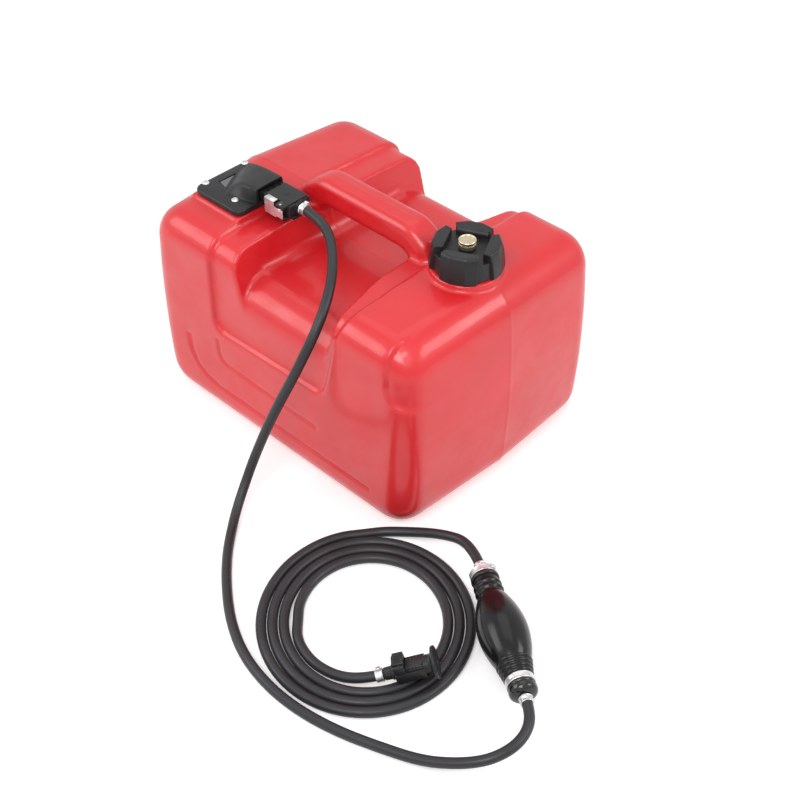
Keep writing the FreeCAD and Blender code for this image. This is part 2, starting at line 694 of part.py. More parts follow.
NIPPLE_FOOT = HOOD_END + " - {socket_depth} - 5"
nipple_rod = cylinder("nipple_rod", "{nipple_radius}", "{socket_depth} + 3", (NIPPLE_FOOT, "{hood_y}", JOINT_Z), ALONG)
nipple_core = cylinder("nipple_core", "{nipple_bore}", "{socket_depth} + 5", (NIPPLE_FOOT + " - 1", "{hood_y}", JOINT_Z), ALONG)
outlet_nipple = cut("outlet_nipple", nipple_rod, nipple_core)
joint_seal_blank = cylinder("joint_seal_blank", "{nipple_radius} + 1.4", "1.6", (HOOD_END + " - {socket_depth} + 0.1", "{hood_y}", JOINT_Z), ALONG)
joint_seal_eye = cylinder("joint_seal_eye", "{nipple_radius}", "3", (HOOD_END + " - {socket_depth}", "{hood_y}", JOINT_Z), ALONG)
joint_seal = cut("joint_seal", joint_seal_blank, joint_seal_eye)

nose = block("plug_nose", "{socket_depth} - 1.4", "{socket_width} - 2 * {nose_gap}", "{socket_tall} - 2 * {nose_gap}",
             (HOOD_END + " - {socket_depth} + 2", "{hood_y} - {socket_width} / 2 + {nose_gap}", PLATE_TOP + " + {socket_floor} + {nose_gap}"))
PLUG_X = "(" + HOOD_END + " + 0.6)"
plug = block("plug_block", "{plug_long}", "{plug_width}", "{plug_tall}",
             (PLUG_X, "{hood_y} - {plug_width} / 2", JOINT_Z + " - {plug_tall} / 2"))
PIN_X = "(" + PLUG_X + " + {plug_long} - 4)"
PIN_Y = "({hood_y} - {plug_width} / 2 - {latch_eye} - 0.4)"
ears = []
for index, low in enumerate((JOINT_Z + " - {plug_tall} / 2", JOINT_Z + " + {plug_tall} / 2 - {ear_thick}")):
    ears.append(block("latch_ear_%d" % index, "2 * {latch_eye}", "2 * {latch_eye} + 1", "{ear_thick}",
                      (PIN_X + " - {latch_eye}", "{hood_y} - {plug_width} / 2 - 2 * {latch_eye} - 0.6", low)))
plug_bore = cylinder("plug_bore", "{nipple_radius} + 0.1", "{socket_depth} + 2", (HOOD_END + " - {socket_depth} + 1", "{hood_y}", JOINT_Z), ALONG)
plug_duct = cylinder("plug_duct", "{nipple_bore}", "{plug_long} + 4", (HOOD_END + " - 1", "{hood_y}", JOINT_Z), ALONG)
ear_holes = cylinder("ear_holes", "{pin_radius}", "{plug_tall} + 2", (PIN_X, PIN_Y, JOINT_Z + " - {plug_tall} / 2 - 1"))
connector_body = cut("connector_body", fuse("connector_solid", [nose, plug] + ears),
                     fuse("connector_holes", [plug_bore, plug_duct, ear_holes]))
latch_pin = cylinder("latch_pin", "{pin_radius}", "{plug_tall}", (PIN_X, PIN_Y, JOINT_Z + " - {plug_tall} / 2"))
EYE_LOW = JOINT_Z + " - {plug_tall} / 2 + {ear_thick} + 0.2"
EYE_TALL = "{plug_tall} - 2 * {ear_thick} - 0.4"
latch_tube = cylinder("latch_tube", "{latch_eye}", EYE_TALL, (PIN_X, PIN_Y, EYE_LOW))
latch_tail = block("latch_tail", "4.5", "{latch_sheet}", EYE_TALL, (PIN_X + " - 5", PIN_Y + " - {latch_eye}", EYE_LOW))
LATCH_X = PIN_X + " - {latch_long}"
latch_side = block("latch_side", "{latch_long} - 4", "{latch_sheet}", "{plug_tall} + 1.8",
                   (LATCH_X, PIN_Y + " - {latch_eye}", JOINT_Z + " - {plug_tall} / 2 + 0.4"))
latch_top = block("latch_top", "{latch_long} - 8", "{latch_flange}", "{latch_sheet}",
                  (LATCH_X, PIN_Y + " - {latch_eye}", JOINT_Z + " + {plug_tall} / 2 + 1"))
latch_hole = cylinder("latch_hole", "{pin_radius} + {pivot_gap}", "{plug_tall} + 4", (PIN_X, PIN_Y, JOINT_Z + " - {plug_tall} / 2 - 2"))
connector_latch = cut("connector_latch", fuse("latch_solid", [latch_tube, latch_tail, latch_side, latch_top]), latch_hole)
BARB_X = "(" + PLUG_X + " + {plug_long})"
barb_blank = cylinder("barb_blank", "{barb_radius} + 1", "{barb_long}", (BARB_X, "{hood_y}", JOINT_Z), ALONG)
barb_core = cylinder("barb_core", "{nipple_bore}", "{barb_long} + 2", (BARB_X + " - 1", "{hood_y}", JOINT_Z), ALONG)
connector_barb = cut("connector_barb", barb_blank, barb_core)

# Hoses: straight runs joined by the largest arcs they allow

HOSE = size("hose_diameter")
FLOOR_Z = HOSE / 2 + size("rest_gap")
YAW = math.radians(size("coil_yaw"))
RIGHT = Vector(math.cos(YAW), math.sin(YAW), 0)
AWAY = Vector(-math.sin(YAW), math.cos(YAW), 0)
COIL_CENTRE = Vector(size("coil_x"), size("coil_y"), 0)


def ground(right, away, height):
    """Point given in the coil's own directions."""
    return COIL_CENTRE + RIGHT * right + AWAY * away + UP * height


def route_edges(name, points):
    """Runs and tangent arcs through a route; prints the arc radii."""
    edges = []
    radii = []
    here = points[0]
    for before, corner, after in zip(points, points[1:], points[2:]):
        into = (corner - before).normalize()
        out = (after - corner).normalize()
        half = into.getAngle(out) / 2
        radius = 0.45 * min((corner - before).Length, (after - corner).Length) / math.tan(half)
        radii.append(round(radius))
        start = corner - into * (radius * math.tan(half))
        end = corner + out * (radius * math.tan(half))
        bisector = (out - into).normalize()
        centre = corner + bisector * (radius / math.cos(half))
        edges.append(Part.LineSegment(here, start).toShape())
        edges.append(Part.Arc(start, centre - bisector * radius, end).toShape())
        here = end
    edges.append(Part.LineSegment(here, points[-1]).toShape())
    print(name, "cord radii", radii, "smallest", min(radii), "length", round(sum(edge.Length for edge in edges), 1))
    return edges


def swept(name, edges):
    """Round tube along a chain of edges."""
    wire = Part.Wire(edges)
    first = edges[0]
    ring = Part.Circle(first.firstVertex().Point, first.tangentAt(first.FirstParameter), HOSE / 2).toShape()
    tube = wire.makePipeShell([Part.Wire([ring])], True, False)
    length = sum(edge.Length for edge in edges)
    print(name, "volume over section times length", round(tube.Volume / (math.pi * HOSE ** 2 / 4 * length), 4))
    return free_form(name, tube)


HOSE_START = Vector(number(BARB_X) + size("barb_long"), size("hood_y"), number(JOINT_Z))
BULB_LOW = Vector(size("bulb_low_x"), size("bulb_low_y"), size("bulb_axis_z"))
BULB_AIM = Vector(math.cos(math.radians(size("bulb_heading"))), math.sin(math.radians(size("bulb_heading"))), 0)
BULB_HIGH = BULB_LOW + BULB_AIM * size("bulb_long")

TANK_HOSE_ROUTE = [
    HOSE_START, HOSE_START + ALONG * 20,
    Vector(3, -55, 229), Vector(24, -70.5, 225), Vector(43, -90, 218.5), Vector(57, -111, 208.5),
    Vector(64, -131, 192), Vector(62, -147, 168), Vector(54.5, -158, 140), Vector(45, -167, 112),
    Vector(36.5, -175.5, 83), Vector(28.5, -186, 49), Vector(29.5, -199, 28.5), Vector(36, -216.5, 13),
    Vector(48.5, -235.5, FLOOR_Z), Vector(70, -260, FLOOR_Z), Vector(98, -285, FLOOR_Z),
    Vector(131, -309, FLOOR_Z), Vector(167, -326.5, FLOOR_Z), Vector(206, -334.5, FLOOR_Z),
    Vector(245, -334, FLOOR_Z), Vector(284, -326, FLOOR_Z), Vector(320, -313, FLOOR_Z),
    Vector(353, -300, 6), Vector(377, -286, 11), Vector(395.5, -270.5, 17), Vector(404, -255, 21),
    Vector(406, -239.5, 22.4), Vector(402, -224, 22.4), BULB_LOW - BULB_AIM * 14, BULB_LOW,
]
tank_hose = swept("tank_hose", route_edges("tank_hose", TANK_HOSE_ROUTE))


def coil_edges():
    """Loops as quarter turns whose radii shrink steadily; opposite quarters are flatter."""
    pitch = size("coil_pitch")
    oval = size("coil_oval")
    last = int(size("coil_quarters"))

    def radius(quarter):
        tuck = size("coil_tuck") if quarter == last else 0
        return size("coil_mean") - pitch * quarter / 4 - oval * (1 if quarter % 2 == 0 else -1) - tuck

    def joint(quarter):
        angle = math.radians(135 + 90 * quarter)
        return RIGHT * math.cos(angle) + AWAY * math.sin(angle)

    def point(centre, reach, degrees):
        angle = math.radians(degrees)
        return centre + RIGHT * (reach * math.cos(angle)) + AWAY * (reach * math.sin(angle))

    centre = COIL_CENTRE + AWAY * (oval * math.sqrt(2) + size("coil_shift")) + UP * FLOOR_Z
    edges = []
    turns = [(0, size("coil_start"), 135.0)]
    turns += [(quarter, 45.0 + 90 * quarter, 135.0 + 90 * quarter) for quarter in range(1, last)]
    turns.append((last, 45.0 + 90 * last, 45.0 + 90 * last + size("coil_end")))
    for quarter, start, end in turns:
        if quarter:
            centre = centre + joint(quarter - 1) * (radius(quarter - 1) - radius(quarter))
        reach = radius(quarter)
        middle = point(centre, reach, (start + end) / 2)
        edges.append(Part.Arc(point(centre, reach, start), middle, point(centre, reach, end)).toShape())
    return edges


def straight_ends(edges):
    """Add one diameter of straight tube at each end."""
    first = edges[0]
    start = first.firstVertex().Point
    into = first.tangentAt(first.FirstParameter)
    last = edges[-1]
    end = last.lastVertex().Point
    out = last.tangentAt(last.LastParameter)
    lead = Part.LineSegment(start - into * HOSE, start).toShape()
    tail = Part.LineSegment(end, end + out * HOSE).toShape()
    return [lead] + edges + [tail], start - into * HOSE, into, end + out * HOSE, out


def least_gap(edges):
    """Smallest clear space between turns, measured on points a full turn apart or more."""
    samples = []
    travelled = 0.0
    for edge in edges:
        for step in range(24):
            share = edge.FirstParameter + (edge.LastParameter - edge.FirstParameter) * step / 24
            samples.append((travelled + edge.Length * step / 24, edge.valueAt(share)))
        travelled += edge.Length
    gap = FAR
    for index, (along, here) in enumerate(samples):
        for other, there in samples[index + 1:]:
            if other - along > 100:
                gap = min(gap, (here - there).Length - HOSE)
    return gap


COIL_EDGES, COIL_IN, COIL_IN_WAY, COIL_OUT, COIL_OUT_WAY = straight_ends(coil_edges())
print("coil least gap", round(least_gap(COIL_EDGES), 2), "length", round(sum(edge.Length for edge in COIL_EDGES)))
hose_coil = swept("hose_coil", COIL_EDGES)

LEAD_IN_ROUTE = [
    BULB_HIGH, BULB_HIGH + BULB_AIM * 15, Vector(225.5, -105.5, 20), Vector(206.5, -107, 14.5),
    Vector(188.5, -113, 9.5), Vector(170.5, -124, 6), COIL_IN - COIL_IN_WAY * 18, COIL_IN,
]
engine_hose = swept("engine_hose", route_edges("engine_hose", LEAD_IN_ROUTE))

ENGINE_AT = ground(size("engine_right"), size("engine_away"), size("engine_z"))
HEADING = math.radians(size("engine_heading"))
TILT = math.radians(size("engine_tilt"))
ENGINE_AIM = (RIGHT * math.cos(HEADING) + AWAY * math.sin(HEADING)) * math.cos(TILT) + UP * math.sin(TILT)
LEAD_OUT_ROUTE = [
    COIL_OUT, COIL_OUT + COIL_OUT_WAY * 17, ground(-57.4, -37.3, FLOOR_Z), ground(-45.5, -52.3, FLOOR_Z),
    ground(-26.0, -64.6, 5.4), ENGINE_AT - ENGINE_AIM * 17, ENGINE_AT,
]
connector_lead = swept("connector_lead", route_edges("connector_lead", LEAD_OUT_ROUTE))

# Primer bulb with its fittings, check balls and bands

BULB_PLACE = Placement(BULB_LOW, Rotation(UP, BULB_AIM))
BULB_FAR_PLACE = Placement(BULB_HIGH, Rotation(UP, BULB_AIM * -1))
SPIGOT_END = "{collar_long} + {spigot_long}"


def bulb_fitting(name, placement, chamber):
    """Collar and spigot; chamber gives the ball chamber's inner outline."""
    return turned(name, [
        ("{fitting_bore}", "0"), ("{hose_diameter} / 2 + 2", "0"), ("{hose_diameter} / 2 + 2", "3"), ("{collar_radius}", "4.5"),
        ("{collar_radius}", "{collar_long}"), ("{spigot_radius}", "{collar_long}"), ("{spigot_radius}", SPIGOT_END),
    ] + chamber, placement)


inlet_fitting = bulb_fitting("inlet_fitting", BULB_PLACE, [
    ("{chamber_radius}", SPIGOT_END), ("{chamber_radius}", SPIGOT_END + " - {chamber_deep}"),
    ("{fitting_bore}", SPIGOT_END + " - {chamber_deep}")])
outlet_fitting = bulb_fitting("outlet_fitting", BULB_FAR_PLACE, [
    ("{fitting_bore}", SPIGOT_END), ("{fitting_bore}", "5 + {chamber_deep}"),
    ("{chamber_radius}", "5 + {chamber_deep}"), ("{chamber_radius}", "5"), ("{fitting_bore}", "5")])

BALL_REST = math.sqrt(size("ball_radius") ** 2 - size("fitting_bore") ** 2) + 0.05


def check_ball(name, place):
    """Ball of a check valve on its seat."""
    ball = doc.addObject("Part::Sphere", name)
    ball.setExpression("Radius", "Sizes.ball_radius")
    ball.Placement = Placement(place, Rotation())
    return ball


INLET_SEAT = size("collar_long") + size("spigot_long") - size("chamber_deep")
inlet_ball = check_ball("inlet_ball", BULB_LOW + BULB_AIM * (INLET_SEAT + BALL_REST))
outlet_ball = check_ball("outlet_ball", BULB_HIGH - BULB_AIM * (5 + size("chamber_deep") - BALL_REST))


def bulb_shape():
    """Rubber bulb: two necks and a swelling between them, hollow."""
    low = size("collar_long") + 1
    high = size("bulb_long") - low
    neck = size("bulb_neck")
    body_low = low + size("bulb_neck_long")
    body_high = high - size("bulb_neck_long")
    middle = (low + high) / 2
    wall = size("bulb_wall")
    inside = size("spigot_radius")

    def spot(radius, along):
        return Vector(radius, 0, along)

    outer = Part.Arc(spot(neck, body_low), spot(size("bulb_radius"), middle), spot(neck, body_high)).toShape()
    cavity_low = body_low + 2
    cavity_high = body_high - 2
    hollow = Part.Arc(spot(inside, cavity_high), spot(size("bulb_radius") - wall, middle), spot(inside, cavity_low)).toShape()
    corners = [
        (spot(inside, low), spot(neck, low)), (spot(neck, low), spot(neck, body_low)), outer,
        (spot(neck, body_high), spot(neck, high)), (spot(neck, high), spot(inside, high)),
        (spot(inside, high), spot(inside, cavity_high)), hollow, (spot(inside, cavity_low), spot(inside, low)),
    ]
    edges = [item if isinstance(item, Part.Shape) else Part.LineSegment(*item).toShape() for item in corners]
    return Part.Face(Part.Wire(edges)).revolve(Vector(0, 0, 0), UP, 360)


primer_bulb = free_form("primer_bulb", bulb_shape(), BULB_PLACE)


def collar(name, inner, outer, low, tall, placement):
    """Plain ring on a line."""
    return turned(name, [(inner, low), (outer, low), (outer, low + " + " + tall), (inner, low + " + " + tall)], placement)


BAND_AT = "{collar_long} + 4"
bulb_bands = fuse("bulb_bands", [
    collar("band_low_end", "{bulb_neck}", "{bulb_neck} + {band_thick}", BAND_AT, "{band_wide}", BULB_PLACE),
    collar("band_high_end", "{bulb_neck}", "{bulb_neck} + {band_thick}", BAND_AT, "{band_wide}", BULB_FAR_PLACE)])


def hose_clamp(name, place, way):
    """Crimped ring round the hose, just inside its end."""
    side = Placement(place, Rotation(UP, way))
    ring = collar(name + "_ring", "{hose_diameter} / 2", "{hose_diameter} / 2 + {clamp_wall}", "1", "{clamp_long}", side)
    return ring


tank_hose_clamps = fuse("tank_hose_clamps", [
    hose_clamp("clamp_tank", HOSE_START, ALONG), hose_clamp("clamp_inlet", BULB_LOW, BULB_AIM * -1)])
engine_hose_clamps = fuse("engine_hose_clamps", [
    hose_clamp("clamp_outlet", BULB_HIGH, BULB_AIM), hose_clamp("clamp_engine", ENGINE_AT, ENGINE_AIM * -1)])

# Engine connector: local Z runs from the hose to the flange, local Y points up

ENGINE_SIDE = UP.cross(ENGINE_AIM).normalize()
ENGINE_ROT = Rotation(ENGINE_SIDE, ENGINE_AIM.cross(ENGINE_SIDE), ENGINE_AIM, "ZXY")
ENGINE_PLACE = Placement(ENGINE_AT, ENGINE_ROT)
SOCKET_FOOT = "{engine_long} - {engine_flange_thick} - {engine_socket_deep}"
engine_barrel = turned("engine_barrel", [
    ("{fitting_bore}", "0"), ("{engine_body} - 2", "0"), ("{engine_body}", "3"),
    ("{engine_body}", "{engine_long} - {engine_flange_thick}"), ("{engine_flange}", "{engine_long} - {engine_flange_thick}"),
    ("{engine_flange}", "{engine_long}"), ("{engine_socket} + 1.2", "{engine_long}"),
    ("{engine_socket} + 1.2", "{engine_long} - {engine_flange_thick}"),
    ("{engine_socket}", "{engine_long} - {engine_flange_thick}"), ("{engine_socket}", SOCKET_FOOT), ("{fitting_bore}", SOCKET_FOOT),
], ENGINE_PLACE)


def engine_local(solid, x, y, z):
    """Put a Part primitive at a local place of the engine connector."""
    for letter in "xyz":
        solid.setExpression("Placement.Base." + letter, None)
    turn = ENGINE_ROT.multiply(solid.Placement.Rotation)
    solid.Placement = Placement(ENGINE_AT + ENGINE_ROT.multVec(Vector(x, y, z)), turn)
    return solid


LEVER_LOW = size("engine_body") + 2.0
LEVER_PIN_Z = 16.0
PIN_HIGH = LEVER_LOW + size("lever_thick") / 2
half_wide = size("lever_wide") / 2
ear_gap = 0.3
ears = []
for index, place in enumerate((-half_wide - ear_gap - size("ear_thick"), half_wide + ear_gap)):
    ear = block("lever_ear_%d" % index, "{ear_thick}", "{engine_body} + 6", "7", ("0", "0", "0"))
    ears.append(engine_local(ear, place, 0, LEVER_PIN_Z - 3.5))
SIDEWAYS = Vector(1, 0, 0)
pin_bore = engine_local(cylinder("lever_pin_bore", "{lever_pin}", "40", ("0", "0", "0"), SIDEWAYS), -20, PIN_HIGH, LEVER_PIN_Z)
ear_core = engine_local(cylinder("ear_core", "{engine_body} - 0.5", "{engine_long} - 8", ("0", "0", "0")), 0, 0, 4)
engine_connector = fuse("engine_connector", [
    engine_barrel, cut("lever_ears", fuse("lever_ears_solid", ears), fuse("lever_ear_cuts", [pin_bore, ear_core]))])
lever_pin = engine_local(
    cylinder("lever_pin", "{lever_pin}", "{lever_wide} + 2 * {ear_thick} + 0.6", ("0", "0", "0"), SIDEWAYS),
    -half_wide - ear_gap - size("ear_thick"), PIN_HIGH, LEVER_PIN_Z)
lever_bar = engine_local(block("lever_bar", "{lever_wide}", "{lever_thick}", "{lever_long}", ("0", "0", "0")), -half_wide, LEVER_LOW, 2)
lever_pad = engine_local(block("lever_pad", "{lever_wide}", "{lever_rise} + 1", "9", ("0", "0", "0")), -half_wide, LEVER_LOW + size("lever_thick") - 1, 2)
lever_eye = engine_local(cylinder("lever_eye", "{lever_pin} + {pivot_gap}", "40", ("0", "0", "0"), SIDEWAYS), -20, PIN_HIGH, LEVER_PIN_Z)
engine_lever = cut("engine_lever", fuse("lever_solid", [lever_bar, lever_pad]), lever_eye)
engine_seal = collar("engine_seal", "{engine_socket}", "{engine_socket} + 1.2", "{engine_long} - {engine_flange_thick} + 0.1", "2", ENGINE_PLACE)

NODES = [
    tank_shell, filler_neck, cap_seal, filler_cap, vent_seal, vent_screw, gauge_gasket, gauge_housing, flange_screws, gauge_lens,
    gauge_dial, gauge_pointer, pickup_tube, pickup_strainer, float_bracket, float_pin, float_arm, fuel_float,
    outlet_nipple, joint_seal, connector_body, latch_pin, connector_latch, connector_barb, tank_hose, hose_coil,
    engine_hose, connector_lead, inlet_fitting, outlet_fitting, inlet_ball, outlet_ball, primer_bulb, bulb_bands,
    tank_hose_clamps, engine_hose_clamps, engine_connector, lever_pin, engine_lever, engine_seal,
]

doc.recompute()
failed = [item.Name for item in doc.Objects if "Invalid" in item.State or "Error" in item.State]
assert not failed, "failed objects: %s" % failed
os.makedirs("parts", exist_ok=True)
for node in NODES:
    shape = node.Shape
    assert not shape.isNull() and shape.isValid(), node.Label
    print(node.Label, "solids", len(shape.Solids), "volume", round(shape.Volume), "z", round(shape.BoundBox.ZMin, 2), round(shape.BoundBox.ZMax, 2))
    shape.exportStep("parts/%s.step" % node.Label)
print("hose start", HOSE_START, "bulb ends", BULB_LOW, BULB_HIGH)
print("coil ends", COIL_IN, COIL_OUT)
print("engine connector", ENGINE_AT, "aim", ENGINE_AIM, "side", ENGINE_SIDE)
print("lever pin", ENGINE_AT + ENGINE_ROT.multVec(Vector(0, PIN_HIGH, LEVER_PIN_Z)))
print("latch pin", number(PIN_X), number(PIN_Y), "float pivot z", number(PIVOT_Z), "float", FLOAT_AT)
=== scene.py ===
"""Outboard fuel tank with its primer hose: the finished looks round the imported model. Metres, +Z up."""

import json
import math

import bmesh
import bpy
import numpy as np
from mathutils import Matrix, Vector

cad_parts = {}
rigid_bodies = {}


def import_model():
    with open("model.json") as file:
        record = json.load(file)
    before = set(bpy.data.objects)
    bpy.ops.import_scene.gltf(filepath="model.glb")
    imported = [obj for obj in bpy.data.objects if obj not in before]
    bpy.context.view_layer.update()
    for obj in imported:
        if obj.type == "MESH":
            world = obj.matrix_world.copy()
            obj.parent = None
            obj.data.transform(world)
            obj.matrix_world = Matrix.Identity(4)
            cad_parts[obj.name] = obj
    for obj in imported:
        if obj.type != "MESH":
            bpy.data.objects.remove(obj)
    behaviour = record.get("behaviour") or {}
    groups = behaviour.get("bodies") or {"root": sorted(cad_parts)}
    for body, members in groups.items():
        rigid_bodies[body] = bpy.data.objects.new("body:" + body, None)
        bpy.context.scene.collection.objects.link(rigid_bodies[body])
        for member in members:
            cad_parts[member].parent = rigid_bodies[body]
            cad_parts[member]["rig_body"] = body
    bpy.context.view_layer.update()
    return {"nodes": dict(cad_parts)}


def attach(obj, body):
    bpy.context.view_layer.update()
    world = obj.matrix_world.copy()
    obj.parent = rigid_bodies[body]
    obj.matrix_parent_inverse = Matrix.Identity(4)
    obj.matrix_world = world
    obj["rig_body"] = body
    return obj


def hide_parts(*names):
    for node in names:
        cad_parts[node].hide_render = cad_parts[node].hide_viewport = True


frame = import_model()
NODES = frame["nodes"]

MM = 0.001
UP = Vector((0, 0, 1))
SIDE = Vector((1, 0, 0))


def mm(x, y, z):
    """Point given in millimetres."""
    return Vector((x, y, z)) * MM


# Camera

CAMERA_YAW = 44.01
CAMERA_PITCH = 41.21
CAMERA_DISTANCE = 1.51465
CAMERA_TARGET = mm(29.61, 10.89, 0)
LENS = 65.64
SENSOR = 36.0


def view_direction(yaw, pitch):
    """Unit vector from the object towards a camera at this azimuth and elevation."""
    yaw, pitch = math.radians(yaw), math.radians(pitch)
    return Vector((math.sin(yaw) * math.cos(pitch), -math.cos(yaw) * math.cos(pitch), math.sin(pitch)))


def make_camera():
    """Camera at the photograph's viewing angle."""
    data = bpy.data.cameras.new("camera")
    data.lens = LENS
    data.sensor_width = SENSOR
    data.clip_end = 20
    camera = bpy.data.objects.new("camera", data)
    bpy.context.scene.collection.objects.link(camera)
    back = view_direction(CAMERA_YAW, CAMERA_PITCH)
    camera.location = CAMERA_TARGET + back * CAMERA_DISTANCE
    camera.rotation_mode = "QUATERNION"
    camera.rotation_quaternion = (-back).to_track_quat("-Z", "Y")
    bpy.context.scene.camera = camera


# Materials: a Principled shader whose colour, roughness and bump vary over the surface

def node(tree, kind, **values):
    """Shader node with some of its inputs set."""
    made = tree.nodes.new(kind)
    for name, value in values.items():
        made.inputs[name.replace("_", " ")].default_value = value
    return made


NOISE_LOW = 0.35
NOISE_HIGH = 0.65
GRAIN_DETAIL = 4.0
GLOSS_FINER = 3
GLOSS_SWING = 0.06


def noise(tree, place, scale, detail=3.0):
    """Noise over object coordinates; scale is in cells per metre."""
    made = node(tree, "ShaderNodeTexNoise", Scale=scale, Detail=detail, Roughness=0.5)
    tree.links.new(place, made.inputs["Vector"])
    return made.outputs["Fac"]


def remapped(tree, value, low, high):
    """Noise value stretched to the range low to high."""
    made = node(tree, "ShaderNodeMapRange", From_Min=NOISE_LOW, From_Max=NOISE_HIGH, To_Min=low, To_Max=high)
    tree.links.new(value, made.inputs["Value"])
    return made.outputs["Result"]


def surface(name, colour, second, roughness, mottle=25, grain=900, depth=0.00003, **shader):
    """Mottled colour, uneven gloss and fine grain. depth is the bump's height in metres."""
    material = bpy.data.materials.new(name)
    material.use_nodes = True
    tree = material.node_tree
    principled = tree.nodes["Principled BSDF"]
    for key, value in shader.items():
        principled.inputs[key.replace("_", " ")].default_value = value
    place = tree.nodes.new("ShaderNodeTexCoord").outputs["Object"]
    blend = tree.nodes.new("ShaderNodeMix")
    blend.data_type = "RGBA"
    blend.inputs["A"].default_value = (*colour, 1)
    blend.inputs["B"].default_value = (*second, 1)
    tree.links.new(remapped(tree, noise(tree, place, mottle), 0, 1), blend.inputs["Factor"])
    tree.links.new(blend.outputs["Result"], principled.inputs["Base Color"])
    uneven = noise(tree, place, mottle * GLOSS_FINER)
    gloss = remapped(tree, uneven, roughness - GLOSS_SWING, roughness + GLOSS_SWING)
    tree.links.new(gloss, principled.inputs["Roughness"])
    bump = node(tree, "ShaderNodeBump", Strength=1.0, Distance=depth)
    tree.links.new(noise(tree, place, grain, GRAIN_DETAIL), bump.inputs["Height"])
    tree.links.new(bump.outputs["Normal"], principled.inputs["Normal"])
    return material


RED = surface("tank_red", (0.62, 0.010, 0.016), (0.57, 0.008, 0.013), 0.40,
              mottle=12, grain=260, depth=0.00003, Coat_Weight=0.32, Coat_Roughness=0.10)
BLACK = surface("black_plastic", (0.012, 0.012, 0.013), (0.016, 0.016, 0.018), 0.38,
                grain=1600, depth=0.00002, Specular_IOR_Level=0.3)
GLOSS_BLACK = surface("gloss_black", (0.008, 0.008, 0.009), (0.012, 0.012, 0.013), 0.16,
                      grain=300, depth=0.00003)
HOSE = surface("hose_rubber", (0.018, 0.018, 0.020), (0.024, 0.024, 0.027), 0.42,
               grain=1400, depth=0.00002, Specular_IOR_Level=0.35)
BULB = surface("bulb_rubber", (0.006, 0.0055, 0.006), (0.009, 0.0085, 0.009), 0.20, grain=500, depth=0.00001,
               Specular_IOR_Level=0.3)
SEAL = surface("seal_rubber", (0.012, 0.012, 0.012), (0.018, 0.018, 0.018), 0.6)
ZINC = surface("zinc_steel", (0.60, 0.59, 0.59), (0.68, 0.67, 0.67), 0.38, mottle=160, grain=2500,
               depth=0.000001, Metallic=1.0)
BRASS = surface("brass", (0.52, 0.44, 0.31), (0.58, 0.50, 0.36), 0.38, mottle=200, grain=2500,
                depth=0.000001, Metallic=1.0)
GLASS = surface("sight_glass", (0.11, 0.11, 0.12), (0.15, 0.15, 0.16), 0.12, mottle=40)
DIAL = surface("dial_white", (0.72, 0.72, 0.70), (0.66, 0.66, 0.64), 0.5)
FOAM = surface("float_foam", (0.10, 0.08, 0.06), (0.15, 0.12, 0.09), 0.8, mottle=200, grain=900, depth=0.0002)
FINISHES = {
    "tank_red": RED, "black_plastic": BLACK, "gloss_black": GLOSS_BLACK, "hose_rubber": HOSE,
    "bulb_rubber": BULB, "seal_rubber": SEAL, "zinc_steel": ZINC, "brass": BRASS, "sight_glass": GLASS,
    "dial_white": DIAL, "float_foam": FOAM,
}


# Pieces

WELD = 1e-5
FLAT_ANGLE = 0.8
ON_AXIS = 1e-6
BLEND_SHARE = 0.45


def add_piece(name, data, body, slot, *replaced):
    """Object for a mesh or curve, on its body, with its slot's finish and the CAD nodes it stands for."""
    piece = bpy.data.objects.new(name, data)
    bpy.context.scene.collection.objects.link(piece)
    data.materials.clear()
    data.materials.append(FINISHES[slot])
    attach(piece, body)
    if replaced:
        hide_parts(*replaced)
    return piece


def mesh_of(name, bm, angle=35):
    """Smooth-shaded mesh from a bmesh, which is freed, with creases sharper than angle kept."""
    bmesh.ops.recalc_face_normals(bm, faces=bm.faces)
    mesh = bpy.data.meshes.new(name)
    bm.to_mesh(mesh)
    bm.free()
    mesh.polygons.foreach_set("use_smooth", [True] * len(mesh.polygons))
    mesh.set_sharp_from_angle(angle=math.radians(angle))
    return mesh


def body_of(name):
    """CAD body that a node rides on."""
    return NODES[name]["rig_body"]


def softened(piece, width, segments=3, angle=18):
    """Round a piece's edges that are sharper than angle by width mm."""
    bevel = piece.modifiers.new("edges", "BEVEL")
    bevel.width = width * MM
    bevel.segments = segments
    bevel.limit_method = "ANGLE"
    bevel.angle_limit = math.radians(angle)
    bevel.harden_normals = True
    bevel.use_clamp_overlap = True


def dressed(name, slot, width):
    """A CAD piece as its own mesh, with its points welded and its edges rounded by width mm."""
    bm = bmesh.new()
    bm.from_mesh(NODES[name].data)
    bmesh.ops.remove_doubles(bm, verts=bm.verts, dist=WELD)
    bmesh.ops.dissolve_limit(bm, angle_limit=math.radians(FLAT_ANGLE), verts=bm.verts, edges=bm.edges)
    piece = add_piece(name + "_finish", mesh_of(name, bm, 40), body_of(name), slot, name)
    if width:
        softened(piece, width, 3, 30)
    return piece


def frame_at(origin, axis):
    """Matrix whose Z runs along axis from origin, with X turned upwards."""
    axis = Vector(axis).normalized()
    across = (UP - axis * UP.dot(axis)).normalized()
    return Matrix.Translation(origin) @ Matrix((across, axis.cross(across), axis)).transposed().to_4x4()


